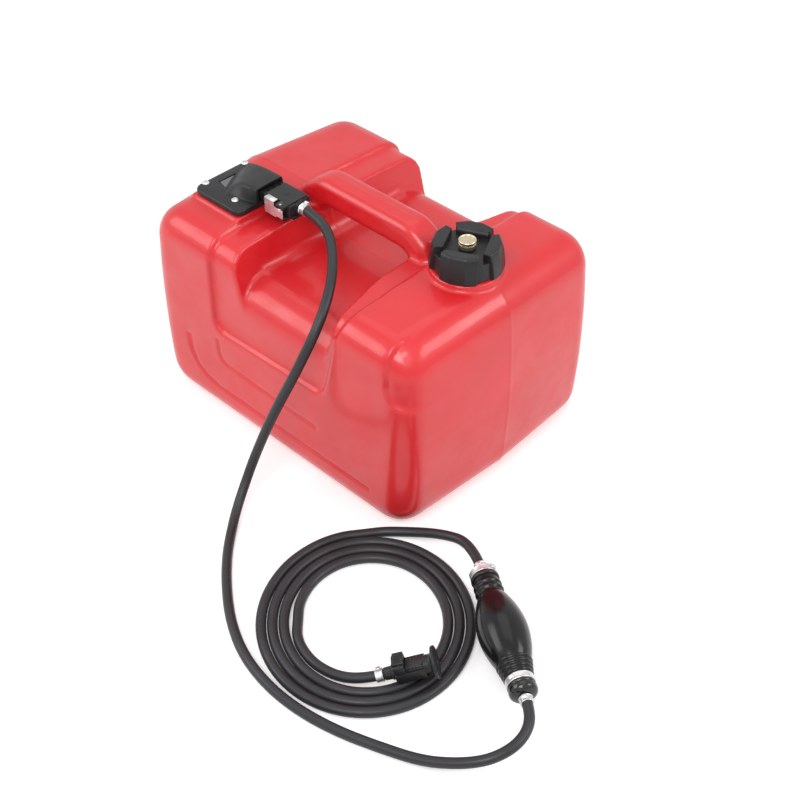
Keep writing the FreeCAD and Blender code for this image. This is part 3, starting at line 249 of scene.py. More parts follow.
def turned(bm, profile, place, around, closed=False):
    """Surface of revolution: profile is (along, radius) in mm, about place's Z."""
    rings = []
    for along, radius in profile:
        if radius < ON_AXIS:
            rings.append([bm.verts.new(place @ mm(0, 0, along))])
            continue
        angles = [2 * math.pi * step / around for step in range(around)]
        spots = [mm(radius * math.cos(angle), radius * math.sin(angle), along) for angle in angles]
        rings.append([bm.verts.new(place @ spot) for spot in spots])
    pairs = list(zip(rings, rings[1:]))
    if closed:
        pairs.append((rings[-1], rings[0]))
    for first, second in pairs:
        for step in range(around):
            after = (step + 1) % around
            corners = [first[step % len(first)], first[after % len(first)],
                       second[after % len(second)], second[step % len(second)]]
            corners = list(dict.fromkeys(corners))
            if len(corners) > 2:
                bm.faces.new(corners)


def rounded(points, radius, steps=4):
    """Profile with its inner corners replaced by smooth curves that start about radius mm from them."""
    result = [Vector(points[0])]
    for before, here, after in zip(points, points[1:], points[2:]):
        before, here, after = Vector(before), Vector(here), Vector(after)
        reach = min(radius, (before - here).length * BLEND_SHARE, (after - here).length * BLEND_SHARE)
        start = here + (before - here).normalized() * reach
        end = here + (after - here).normalized() * reach
        for step in range(steps + 1):
            share = step / steps
            result.append(start * (1 - share) ** 2 + here * 2 * share * (1 - share) + end * share ** 2)
    result.append(Vector(points[-1]))
    return [tuple(point) for point in result]


def box_mesh(bm, low, high, place=Matrix.Identity(4), bevel=0.0, segments=2):
    """Box between two corners in mm, in place's frame, with its edges rounded by bevel mm."""
    made = bmesh.ops.create_cube(bm, size=1.0)
    low, high = Vector(low), Vector(high)
    for vert in made["verts"]:
        share = vert.co + Vector((0.5, 0.5, 0.5))
        vert.co = Vector([low[i] + (high[i] - low[i]) * share[i] for i in range(3)]) * MM
    if bevel:
        edges = list({edge for vert in made["verts"] for edge in vert.link_edges})
        made = bmesh.ops.bevel(bm, geom=edges, offset=bevel * MM, segments=segments, profile=0.5,
                               affect="EDGES", clamp_overlap=True)
    bmesh.ops.transform(bm, matrix=place, verts=list(set(made["verts"])))
    return bm


def lofted(bm, rings):
    """Form through rings of as many points each, with a face across either end."""
    rings = [[bm.verts.new(point) for point in ring] for ring in rings]
    count = len(rings[0])
    for low, high in zip(rings, rings[1:]):
        for step in range(count):
            after = (step + 1) % count
            bm.faces.new((low[step], low[after], high[after], high[step]))
    bm.faces.new(rings[0])
    bm.faces.new(rings[-1])


def joined(bm, other):
    """Put a second bmesh, which is freed, into the first."""
    mesh = bpy.data.meshes.new("joined")
    other.to_mesh(mesh)
    other.free()
    bm.from_mesh(mesh)


# Hoses: one spline each, through the CAD route's own points

HOSE_WIDTH = 9.5
FLOOR_Z = 4.8
HOSE_START = mm(-41.4, -47.5, 232.4)
BULB_LOW = mm(380.6, -203.3, 22.4)
BULB_LONG = 142.5
BULB_HEADING = math.radians(146)
BULB_AIM = Vector((math.cos(BULB_HEADING), math.sin(BULB_HEADING), 0))
BULB_HIGH = BULB_LOW + BULB_AIM * (BULB_LONG * MM)

COIL_YAW = math.radians(44)
COIL_RIGHT = Vector((math.cos(COIL_YAW), math.sin(COIL_YAW), 0))
COIL_AWAY = Vector((-math.sin(COIL_YAW), math.cos(COIL_YAW), 0))
COIL_CENTRE = mm(219.5, -222, 0)
COIL_MEAN = 101.05
COIL_PITCH = 10.1
COIL_OVAL = 8.0
COIL_SHIFT = -1.5
COIL_QUARTERS = 13
COIL_TUCK = 8.0
COIL_START = 100.0
COIL_END = 45.0
COIL_STEP = 22.5
QUARTER_FROM = 45.0


def ground(right, away, high):
    """Point by its place right of and behind the coil's centre, as the camera sees them, in mm."""
    return COIL_CENTRE + COIL_RIGHT * (right * MM) + COIL_AWAY * (away * MM) + UP * (high * MM)


ENGINE_AT = ground(12.5, -67.7, 13.5)
ENGINE_HEADING = math.radians(3)
ENGINE_TILT = math.radians(17)
ENGINE_LEVEL = COIL_RIGHT * math.cos(ENGINE_HEADING) + COIL_AWAY * math.sin(ENGINE_HEADING)
ENGINE_AIM = ENGINE_LEVEL * math.cos(ENGINE_TILT) + UP * math.sin(ENGINE_TILT)


def coil_points():
    """Control points of the coil's quarter turns, whose radii shrink steadily, from the outside in."""
    def radius(quarter):
        tuck = COIL_TUCK if quarter == COIL_QUARTERS else 0
        return COIL_MEAN - COIL_PITCH * quarter / 4 - COIL_OVAL * (1 if quarter % 2 == 0 else -1) - tuck

    def way(degrees):
        angle = math.radians(degrees)
        return COIL_RIGHT * math.cos(angle) + COIL_AWAY * math.sin(angle)

    swell = 1 / math.cos(math.radians(COIL_STEP / 2))
    centre = COIL_CENTRE + COIL_AWAY * ((COIL_OVAL * math.sqrt(2) + COIL_SHIFT) * MM) + UP * (FLOOR_Z * MM)
    points = []
    for quarter in range(COIL_QUARTERS + 1):
        if quarter:
            shrink = radius(quarter - 1) - radius(quarter)
            centre = centre + way(QUARTER_FROM + 90 * quarter) * (shrink * MM)
        start = COIL_START if quarter == 0 else QUARTER_FROM + 90 * quarter
        end = QUARTER_FROM + 90 * quarter + (COIL_END if quarter == COIL_QUARTERS else 90)
        count = max(round((end - start) / COIL_STEP), 1)
        for step in range(count):
            angle = start + (end - start) * (step + 0.5) / count
            points.append(centre + way(angle) * (radius(quarter) * swell * MM))
    last = QUARTER_FROM + 90 * COIL_QUARTERS + COIL_END
    return points, way(COIL_START + 90), way(last + 90)


COIL_POINTS, COIL_IN_WAY, COIL_OUT_WAY = coil_points()
COIL_IN = mm(142.988, -152.562, FLOOR_Z)
COIL_OUT = mm(175.679, -269.263, FLOOR_Z)

TANK_HOSE_ROUTE = [
    HOSE_START, HOSE_START + mm(20, 0, 0), mm(3, -55, 229), mm(24, -70.5, 225), mm(43, -90, 218.5),
    mm(57, -111, 208.5), mm(64, -131, 192), mm(62, -147, 168), mm(54.5, -158, 140), mm(45, -167, 112),
    mm(36.5, -175.5, 83), mm(28.5, -186, 49), mm(29.5, -199, 28.5), mm(36, -216.5, 13),
    mm(48.5, -235.5, FLOOR_Z), mm(70, -260, FLOOR_Z), mm(98, -285, FLOOR_Z), mm(131, -309, FLOOR_Z),
    mm(167, -326.5, FLOOR_Z), mm(206, -334.5, FLOOR_Z), mm(245, -334, FLOOR_Z), mm(284, -326, FLOOR_Z),
    mm(320, -313, FLOOR_Z), mm(353, -300, 6), mm(377, -286, 11), mm(395.5, -270.5, 17), mm(404, -255, 21),
    mm(406, -239.5, 22.4), mm(402, -224, 22.4), BULB_LOW - BULB_AIM * (14 * MM), BULB_LOW,
]
ENGINE_HOSE_ROUTE = [
    BULB_HIGH, BULB_HIGH + BULB_AIM * (15 * MM), mm(225.5, -105.5, 20), mm(206.5, -107, 14.5),
    mm(188.5, -113, 9.5), mm(170.5, -124, 6), COIL_IN - COIL_IN_WAY * (18 * MM), COIL_IN,
    *COIL_POINTS,
    COIL_OUT, COIL_OUT + COIL_OUT_WAY * (17 * MM), ground(-57.4, -37.3, FLOOR_Z),
    ground(-45.5, -52.3, FLOOR_Z), ground(-26.0, -64.6, 5.4), ENGINE_AT - ENGINE_AIM * (17 * MM), ENGINE_AT,
]
CRIMP_INNER = HOSE_WIDTH / 2 + 0.02
CRIMP_OUTER = HOSE_WIDTH / 2 + 1.1
CRIMP_BAND = [
    (0.6, CRIMP_INNER), (0.6, CRIMP_OUTER + 0.25), (1.3, CRIMP_OUTER + 0.35), (1.8, CRIMP_OUTER),
    (5.8, CRIMP_OUTER), (6.3, CRIMP_OUTER + 0.35), (7.0, CRIMP_OUTER + 0.25), (7.0, CRIMP_INNER),
]
CRIMP_EAR = ((CRIMP_OUTER - 0.4, -2.0, 1.7), (CRIMP_OUTER + 2.3, 2.0, 5.9))


def hose(name, route, *replaced):
    """Hose as one NURBS spline with the route's points as its control points."""
    curve = bpy.data.curves.new(name, "CURVE")
    curve.dimensions = "3D"
    curve.resolution_u = 6
    curve.bevel_depth = HOSE_WIDTH / 2 * MM
    curve.bevel_resolution = 7
    curve.use_fill_caps = True
    spline = curve.splines.new("NURBS")
    spline.points.add(len(route) - 1)
    for point, place in zip(spline.points, route):
        point.co = (*place, 1)
    spline.order_u = 3
    spline.use_endpoint_u = True
    spline.use_smooth = True
    return add_piece(name, curve, "tank", "hose_rubber", *replaced)


def crimp(bm, place, ear_turn):
    """Crimped clamp: a band round the hose with a rolled edge and a pinched ear."""
    turned(bm, rounded(CRIMP_BAND, 0.2, 2), place, 40)
    turn = Matrix.Rotation(math.radians(ear_turn), 4, "Z")
    box_mesh(bm, *CRIMP_EAR, place @ turn, 0.7, 3)


def make_hoses():
    """Both hoses with their clamps."""
    tank_hose = hose("tank_hose_line", TANK_HOSE_ROUTE, "tank_hose")
    engine_hose = hose("engine_hose_line", ENGINE_HOSE_ROUTE, "engine_hose", "hose_coil", "connector_lead")
    at_tank = [(frame_at(HOSE_START, SIDE), -30), (frame_at(BULB_LOW, -BULB_AIM), 20)]
    at_engine = [(frame_at(BULB_HIGH, BULB_AIM), -20), (frame_at(ENGINE_AT, -ENGINE_AIM), 15)]
    clamps = []
    for line, spots in (("tank_hose", at_tank), ("engine_hose", at_engine)):
        bm = bmesh.new()
        for place, ear_turn in spots:
            crimp(bm, place, ear_turn)
        mesh = mesh_of(line + "_crimps", bm)
        clamps.append(add_piece(line + "_crimps", mesh, "tank", "zinc_steel", line + "_clamps"))
    return tank_hose, engine_hose, *clamps


# Primer bulb

BULB_FOOT = 11.6
BULB_END = 129.0
BULB_CORE = 8.7
RIB_COUNT = 4
RIB_FROM = 18.6
RIB_PITCH = 4.3
RIB_RADIUS = 11.8
RIB_GROWTH = 0.9
RIB_SHAPE = [(0, 0), (1.0, 1.5), (2.7, 1.8), (3.5, 0.6)]
SWELL_FROM = 36.0
SWELL_TO = 110.0
SWELL_INLET = 15.6
SWELL_OUTLET = 12.2
SWELL_BULGE = 8.4
SWELL_POWER = 0.85
SWELL_STEPS = 24
BULB_NECK = [
    (111.6, 11.7), (113.0, 11.7), (114.6, 13.2), (116.4, 13.2), (118.0, 11.8), (120.0, 11.8), (121.4, 13.0),
    (123.0, 13.0), (124.4, 11.7), (129.0, 11.6),
]
INLET_COLLAR = [
    (0, 3.1), (0, 6.2), (0.6, 8.6), (1.8, 10.8), (3.6, 12.2), (5.6, 12.6), (8.0, 12.6), (8.6, 12.0),
    (9.4, 12.0), (10.0, 12.5), (11.2, 12.5), (11.6, 12.0), (11.6, 8.6), (33, 8.6), (33, 3.1),
]
OUTLET_COLLAR = [
    (0, 3.1), (0, 6.2), (0.5, 8.4), (1.2, 10.4), (2.0, 11.6), (9.4, 11.8), (9.6, 12.6), (10.2, 13.0),
    (12.4, 13.0), (13.0, 12.6), (13.2, 11.8), (13.2, 8.6), (33, 8.6), (33, 3.1),
]
INLET_BAND_FOOT = 11.9
OUTLET_BAND_FOOT = 2.2
BAND_SHAPE = [
    (0, 11.62), (0, 12.5), (0.6, 12.75), (1.3, 12.5), (5.2, 12.5), (5.9, 12.75), (6.5, 12.5), (6.5, 11.62),
]
BAND_EAR_TURN = -40


def make_bulb():
    """Ribbed neck, swelling body and collars, turned about the bulb's axis from its inlet end."""
    place = frame_at(BULB_LOW, BULB_AIM)
    back = frame_at(BULB_HIGH, -BULB_AIM)
    ribs = []
    for rib in range(RIB_COUNT):
        foot = RIB_FROM + RIB_PITCH * rib
        grown = RIB_RADIUS + RIB_GROWTH * rib
        ribs += [(foot + along, grown + rise) for along, rise in RIB_SHAPE]
    swell = []
    for step in range(SWELL_STEPS + 1):
        share = step / SWELL_STEPS
        bulge = math.sin(math.pi * share) ** SWELL_POWER
        radius = SWELL_INLET * (1 - share) + SWELL_OUTLET * share + SWELL_BULGE * bulge
        swell.append((SWELL_FROM + (SWELL_TO - SWELL_FROM) * share, radius))
    inlet_end = [(BULB_FOOT, BULB_CORE), (BULB_FOOT, 11.5), (18.0, 11.6)]
    outlet_end = rounded(BULB_NECK, 0.8, 3) + [(BULB_END, BULB_CORE)]
    bm = bmesh.new()
    turned(bm, inlet_end + rounded(ribs, 0.8, 3) + swell + outlet_end, place, 96)
    bulb = add_piece("bulb_body", mesh_of("bulb_body", bm, 60), "tank", "bulb_rubber", "primer_bulb")
    collars = []
    ends = [("inlet_fitting", place, INLET_COLLAR), ("outlet_fitting", back, OUTLET_COLLAR)]
    for name, spot, shape in ends:
        bm = bmesh.new()
        turned(bm, rounded(shape, 0.5, 3), spot, 72)
        collars.append(add_piece(name + "_collar", mesh_of(name, bm), "tank", "gloss_black", name))
    bm = bmesh.new()
    for spot, foot in ((place, INLET_BAND_FOOT), (back, OUTLET_BAND_FOOT)):
        band = [(foot + along, radius) for along, radius in BAND_SHAPE]
        turned(bm, rounded(band, 0.25, 2), spot, 64)
        turn = spot @ Matrix.Rotation(math.radians(BAND_EAR_TURN), 4, "Z")
        box_mesh(bm, (12.1, -2.6, foot + 1.2), (14.2, 2.6, foot + 5.3), turn, 0.8, 3)
    clips = add_piece("bulb_clips", mesh_of("bulb_clips", bm), "tank", "zinc_steel", "bulb_bands")
    return [bulb, clips, collars[0]], collars[1]


# Tank skin: the CAD shell's outside, remeshed evenly, blended like a blow moulding, with its moulded lines

SKIN_STEP = 1.8 * MM
CAP_AXIS = (124.0, 0.0)
GAUGE_AXIS = (-118.0, -56.0)
NECK_BORE = 33.5
GAUGE_BORE = 22.5
BORES_FROM = 200.0
NECK_DEPTH = 32.0
NECK_RING = [
    (BORES_FROM, 21.0), (BORES_FROM, 34.0), (225.9, 34.0), (225.9, 26.0), (238.0, 26.0), (238.0, 21.0),
]
NECK_AREA = 38
NECK_AREA_LOW = 217
NECK_WEIGHT = 0.15
SKIN_WEIGHT = 0.5
SKIN_ROUNDS = 6
FRONT_EDGE = -96
FRONT_FULL = -118
PANEL_GROOVE = [(-80.5, 101), (-79.5, 84), (-76, 77.5), (-67, 74.5), (57, 71)]
PANEL_DEEP = 1.8
PANEL_WIDE = 1.7
BASE_GROOVE = [(-126, 82), (-124, 64), (-116, 50), (-103, 41.5), (-84, 37.5), (127, 37.5)]
BASE_DEEP = 2.2
BASE_WIDER = 1.6
POCKET_LEFT = 147.0
POCKET_LOW = 152.0
POCKET_ROUND = 24.0
POCKET_DEEP = 3.4
POCKET_SLOPE = 4.5
POCKET_INSIDE = 30
SEAM_HIGH = 0.45
SEAM_WIDE = 1.3
SEAM_LOW = 4
SEAM_FROM_CAP = 36


def in_bore(face):
    """Whether a face lines one of the two bores through the shell's top."""
    middle = face.calc_center_median() / MM
    from_cap = math.hypot(middle.x - CAP_AXIS[0], middle.y - CAP_AXIS[1])
    from_gauge = math.hypot(middle.x - GAUGE_AXIS[0], middle.y - GAUGE_AXIS[1])
    near = from_cap < NECK_BORE or from_gauge < GAUGE_BORE
    return near and middle.z > BORES_FROM and abs(face.normal.z) < 0.2


def joined_to(face):
    """Faces joined to this one across edges."""
    found = {face}
    waiting = [face]
    while waiting:
        for edge in waiting.pop().edges:
            fresh = [other for other in edge.link_faces if other not in found]
            found.update(fresh)
            waiting.extend(fresh)
    return found


def outside_of(name):
    """The CAD shell's outer surface as a closed bmesh, with a short blind bore at the neck."""
    bm = bmesh.new()
    bm.from_mesh(NODES[name].data)
    bmesh.ops.remove_doubles(bm, verts=bm.verts, dist=WELD)
    bmesh.ops.delete(bm, geom=[face for face in bm.faces if in_bore(face)], context="FACES")
    outer = joined_to(max(bm.faces, key=lambda face: face.calc_center_median().x))
    bmesh.ops.delete(bm, geom=[face for face in bm.faces if face not in outer], context="FACES")
    rim = [edge for edge in bm.edges if edge.is_boundary and edge.verts[0].co.x > 0]
    made = bmesh.ops.extrude_edge_only(bm, edges=rim)
    for vert in made["geom"]:
        if isinstance(vert, bmesh.types.BMVert):
            vert.co.z -= NECK_DEPTH * MM
    bmesh.ops.holes_fill(bm, edges=[edge for edge in bm.edges if edge.is_boundary], sides=0)
    bmesh.ops.recalc_face_normals(bm, faces=bm.faces)
    collar = bmesh.new()
    turned(collar, NECK_RING, Matrix.Translation(mm(*CAP_AXIS, 0)), 96, closed=True)
    bmesh.ops.recalc_face_normals(collar, faces=collar.faces)
    joined(bm, collar)
    return bm


def evenly_meshed(bm, step):
    """Points and quads of the bmesh's form on an even grid."""
    mesh = bpy.data.meshes.new("rough_skin")
    bm.to_mesh(mesh)
    bm.free()
    rough = bpy.data.objects.new("rough_skin", mesh)
    bpy.context.scene.collection.objects.link(rough)
    remesh = rough.modifiers.new("even", "REMESH")
    remesh.mode = "VOXEL"
    remesh.voxel_size = step
    even = rough.evaluated_get(bpy.context.evaluated_depsgraph_get()).to_mesh()
    points = np.zeros(len(even.vertices) * 3)
    even.vertices.foreach_get("co", points)
    faces = [tuple(polygon.vertices) for polygon in even.polygons]
    edges = np.zeros(len(even.edges) * 2, int)
    even.edges.foreach_get("vertices", edges)
    bpy.data.objects.remove(rough)
    return points.reshape(-1, 3), faces, edges.reshape(-1, 2)


def relaxed(points, edges, weight, rounds):
    """Points drawn towards the mean of their neighbours, as far as weight lets them."""
    count = np.bincount(edges.ravel(), minlength=len(points))[:, None]
    first, second = edges[:, 0], edges[:, 1]
    for _ in range(rounds):
        total = np.empty_like(points)
        for axis in range(3):
            total[:, axis] = np.bincount(first, points[second, axis], len(points))
            total[:, axis] += np.bincount(second, points[first, axis], len(points))
        points = points + weight[:, None] * (total / count - points)
    return points


def ramp(low, high, value):
    """Smooth rise from 0 at low to 1 at high."""
    share = np.clip((value - low) / (high - low), 0, 1)
    return share * share * (3 - 2 * share)


def to_line(x, z, line):
    """Distance from each point to a polyline."""
    best = np.full(len(x), 1e9)
    for (x0, z0), (x1, z1) in zip(line, line[1:]):
        dx, dz = x1 - x0, z1 - z0
        share = np.clip(((x - x0) * dx + (z - z0) * dz) / (dx * dx + dz * dz), 0, 1)
        best = np.minimum(best, np.hypot(x - x0 - share * dx, z - z0 - share * dz))
    return best


def moulded_lines(points):
    """Height in mm that the moulded details add at each point, given in mm."""
    x, y, z = points.T
    front = ramp(FRONT_EDGE, FRONT_FULL, y)
    rise = -PANEL_DEEP * np.exp(-(to_line(x, z, PANEL_GROOVE) / PANEL_WIDE) ** 2) * front
    broad = PANEL_WIDE + BASE_WIDER * ramp(50, 75, z)
    rise -= BASE_DEEP * np.exp(-(to_line(x, z, BASE_GROOVE) / broad) ** 2) * front
    across = POCKET_LEFT + POCKET_ROUND - x
    down = POCKET_LOW + POCKET_ROUND - z
    inset = POCKET_ROUND - np.hypot(np.maximum(across, 0), np.maximum(down, 0))
    inset = np.where((across < 0) & (down < 0), POCKET_INSIDE, inset)
    rise -= POCKET_DEEP * ramp(0, POCKET_SLOPE, inset) * (1 - ramp(160, 182, x)) * front
    seam = np.exp(-(y / SEAM_WIDE) ** 2) * SEAM_HIGH
    clear = np.hypot(x - CAP_AXIS[0], y - CAP_AXIS[1]) > SEAM_FROM_CAP
    rise += np.where(clear & (z > SEAM_LOW), seam, 0)
    return rise


def make_tank():
    """Red tank skin."""
    points, faces, edges = evenly_meshed(outside_of("tank_shell"), SKIN_STEP)
    x, y, z = (points / MM).T
    near_neck = (np.hypot(x - CAP_AXIS[0], y - CAP_AXIS[1]) < NECK_AREA) & (z > NECK_AREA_LOW)
    points = relaxed(points, edges, np.where(near_neck, NECK_WEIGHT, SKIN_WEIGHT), SKIN_ROUNDS)
    mesh = bpy.data.meshes.new("tank_skin")
    mesh.from_pydata(points.tolist(), [], faces)
    mesh.update()
    normals = np.zeros(len(points) * 3)
    mesh.vertices.foreach_get("normal", normals)
    points = points + normals.reshape(-1, 3) * (moulded_lines(points / MM) * MM)[:, None]
    mesh.vertices.foreach_set("co", points.ravel())
    mesh.update()
    mesh.polygons.foreach_set("use_smooth", [True] * len(mesh.polygons))
    add_piece("tank_skin", mesh, "tank", "tank_red", "tank_shell", "filler_neck")


# Filler cap, vent screw and flange screws

CAP_TURN = 27.0
LOBE_CHORD = 18.4
LOBE_INNER_HALF = 15.5
LOBE_OUTER_HALF = 17.7
LOBE_FACET = 12.0
LOBE_LEVELS = [(226.4, 34.9), (232.0, 34.6), (245.0, 33.1), (250.9, 31.6), (253.1, 30.0)]
LOBE_FALL = 1.2
CAP_CUP = [(240.2, 3.4), (244.2, 3.4), (244.2, 30.4), (226.4, 31.2), (226.4, 26.4), (240.2, 26.4)]
VENT_HEAD = [
    (235.2, 0), (235.2, 3.0), (235.7, 3.25), (245.45, 3.25), (245.45, 7.4), (245.9, 7.8), (249.6, 7.8),
    (249.9, 7.1), (251.0, 7.1), (251.3, 7.9), (251.8, 8.2), (253.0, 8.2), (253.45, 7.8), (253.45, 6.9),
    (252.9, 6.5), (252.9, 0),
]
VENT_TEETH = 32
VENT_TOOTH = ((7.5, -0.35, 246.0), (8.15, 0.35, 249.5))
SCREW_PLACES = [(-146, -77), (-103, -77), (-146, -27), (-103, -27)]
PAN_HEAD = [
    (217.0, 0), (217.0, 2.1), (227.0, 2.1), (227.0, 3.6), (227.6, 3.6), (228.3, 3.0), (228.6, 1.9),
    (228.5, 1.6), (227.4, 1.4), (227.4, 0),
]


def lobe(bm, place):
    """One grip lobe of the cap: a faceted block, drawn in towards its top, with a straight inner face."""
    rings = []
    for high, radius in LOBE_LEVELS:
        reach = math.degrees(math.asin(LOBE_OUTER_HALF / radius))
        ring = [(LOBE_CHORD, -LOBE_INNER_HALF)]
        for angle in (-reach, -LOBE_FACET, LOBE_FACET, reach):
            ring.append((radius * math.cos(math.radians(angle)), radius * math.sin(math.radians(angle))))
        ring.append((LOBE_CHORD, LOBE_INNER_HALF))
        slope = LOBE_FALL / (radius - LOBE_CHORD) if high == LOBE_LEVELS[-1][0] else 0
        rings.append([place @ mm(x, y, high - slope * (radius - x)) for x, y in ring])
    lofted(bm, rings)


def make_cap():
    """Cap with four grip lobes round a square hollow, and its vent screw."""
    place = Matrix.Translation(mm(*CAP_AXIS, 0))
    bm = bmesh.new()
    turned(bm, CAP_CUP, place, 96, closed=True)
    for quarter in range(4):
        lobe(bm, place @ Matrix.Rotation(math.radians(CAP_TURN + 90 * quarter), 4, "Z"))
    cap = add_piece("cap_grips", mesh_of("cap_grips", bm, 24), "cap", "black_plastic", "filler_cap")
    softened(cap, 1.1)
    bm = bmesh.new()
    turned(bm, VENT_HEAD, place, 72)
    for tooth in range(VENT_TEETH):
        turn = Matrix.Rotation(math.radians(360 * tooth / VENT_TEETH), 4, "Z")
        box_mesh(bm, *VENT_TOOTH, place @ turn, 0.15, 1)
    add_piece("vent_knob", mesh_of("vent_knob", bm), "vent", "brass", "vent_screw")


def make_screws():
    """Four pan-head screws with a recess each."""
    bm = bmesh.new()
    for x, y in SCREW_PLACES:
        turned(bm, PAN_HEAD, Matrix.Translation(mm(x, y, 0)), 32)
    mesh = mesh_of("pan_screws", bm)
    add_piece("pan_screws", mesh, body_of("flange_screws"), "zinc_steel", "flange_screws")


# Gauge housing: a rounded plate with a hood that sweeps up to the hose connector's socket

PLATE_MIDDLE = (-117.0, -56.0)
PLATE_HALF = (33.0, 34.0)
PLATE_CORNER = 9.0
PLATE_LOW = 221.7
PLATE_TOP = 227.0
PLATE_LEVELS = [
    (PLATE_LOW, 0.2), (PLATE_LOW + 0.2, 0.0), (PLATE_TOP - 2.2, 0.0), (PLATE_TOP - 1.2, 0.35),
    (PLATE_TOP - 0.4, 1.1), (PLATE_TOP, 2.3),
]
CORNER_STEPS = 8
SPIGOT = [(209.7, 0), (209.7, 21.5), (PLATE_LOW + 1, 21.5), (PLATE_LOW + 1, 0)]
HOOD_MOUTH = -84.0
HOOD_RISE = 15.5
HOOD_SCALE = 1.026
HOOD_BACK = -31.6
HOOD_BACK_WIDE = 1.2
HOOD_FRONT = -66.3
HOOD_SPREAD = (0.5, 15)
HOOD_SPREAD_FROM = -86
HOOD_SPREAD_GROWTH = 0.46
HOOD_EDGE_FALL = 0.10
HOOD_EDGE_WIDE = 1.6
HOOD_FOOT = (-129.65, -57.46)
HOOD_WAY = (0.879, 0.477)
HOOD_SWEEP = 11.0
HOOD_X = [-131 + step for step in range(48)]
HOOD_Y = [-79 + 0.75 * step for step in range(65)]
HOOD_SINK = 0.4
HOOD_UNDER = 1.4
SOCKET = ((HOOD_MOUTH - 9.0, -63.8, 227.5), (HOOD_MOUTH + 5, -34.2, 240.2))
WINDOW = [(-137.9, -65.6), (-126.4, -68.7), (-137.3, -48.6)]
WINDOW_FRAME = 1.32


def hood_height(x, y):
    """Rise of the hood above the plate in mm."""
    climb = (x - HOOD_FOOT[0]) * HOOD_WAY[0] + (y - HOOD_FOOT[1]) * HOOD_WAY[1]
    rise = HOOD_RISE * (1 - math.exp(-max(climb, 0) / HOOD_SWEEP))
    back = min(max((HOOD_BACK - y) / HOOD_BACK_WIDE, 0), 1)
    spread = min(HOOD_SPREAD[0] + HOOD_SPREAD_GROWTH * max(HOOD_SPREAD_FROM - x, 0), HOOD_SPREAD[1])
    front = min(max((y - HOOD_FRONT + spread) / spread, 0), 1)
    to_edge = min(abs(y - HOOD_FRONT), abs(HOOD_BACK - y))
    edge = 1 - HOOD_EDGE_FALL * math.exp(-to_edge / HOOD_EDGE_WIDE)
    return rise * math.sqrt(back) * front ** 1.5 * edge


def hood_solid():
    """Closed form under the hood's surface, as a bmesh."""
    bm = bmesh.new()
    top, low = [], []
    for x in HOOD_X:
        heights = [PLATE_TOP - HOOD_SINK + hood_height(x, y) * HOOD_SCALE for y in HOOD_Y]
        top.append([bm.verts.new(mm(x, y, z)) for y, z in zip(HOOD_Y, heights)])
        low.append([bm.verts.new(mm(x, y, PLATE_TOP - HOOD_UNDER)) for y in HOOD_Y])
    last_x, last_y = len(HOOD_X) - 1, len(HOOD_Y) - 1
    for i in range(last_x):
        for j in range(last_y):
            bm.faces.new((top[i][j], top[i + 1][j], top[i + 1][j + 1], top[i][j + 1]))
            bm.faces.new((low[i][j], low[i][j + 1], low[i + 1][j + 1], low[i + 1][j]))
    for i in range(last_x):
        for j in (0, last_y):
            bm.faces.new((top[i][j], low[i][j], low[i + 1][j], top[i + 1][j]))
    for j in range(last_y):
        for i in (0, last_x):
            bm.faces.new((top[i][j], top[i][j + 1], low[i][j + 1], low[i][j]))
    bmesh.ops.recalc_face_normals(bm, faces=bm.faces)
    return bm


def cut_by(bm, tool):
    """The first form less the second, both closed bmeshes, which are freed."""
    pair = []
    for name, form in (("base", bm), ("tool", tool)):
        mesh = bpy.data.meshes.new(name)
        form.to_mesh(mesh)
        form.free()
        pair.append(bpy.data.objects.new(name, mesh))
        bpy.context.scene.collection.objects.link(pair[-1])
    boolean = pair[0].modifiers.new("cut", "BOOLEAN")
    boolean.operation = "DIFFERENCE"
    boolean.solver = "EXACT"
    boolean.object = pair[1]
    result = bmesh.new()
    result.from_mesh(pair[0].evaluated_get(bpy.context.evaluated_depsgraph_get()).to_mesh())
    for item in pair:
        bpy.data.objects.remove(item)
    return result


def plate_outline(inset):
    """Corners of the rounded plate, inset by some mm."""
    points = []
    radius = PLATE_CORNER - inset
    reach_x = PLATE_HALF[0] - PLATE_CORNER
    reach_y = PLATE_HALF[1] - PLATE_CORNER
    for turn, (sx, sy) in enumerate(((1, 1), (-1, 1), (-1, -1), (1, -1))):
        middle = (PLATE_MIDDLE[0] + sx * reach_x, PLATE_MIDDLE[1] + sy * reach_y)
        for step in range(CORNER_STEPS + 1):
            angle = math.radians(90 * turn + 90 * step / CORNER_STEPS)
            points.append((middle[0] + radius * math.cos(angle), middle[1] + radius * math.sin(angle)))
    return points


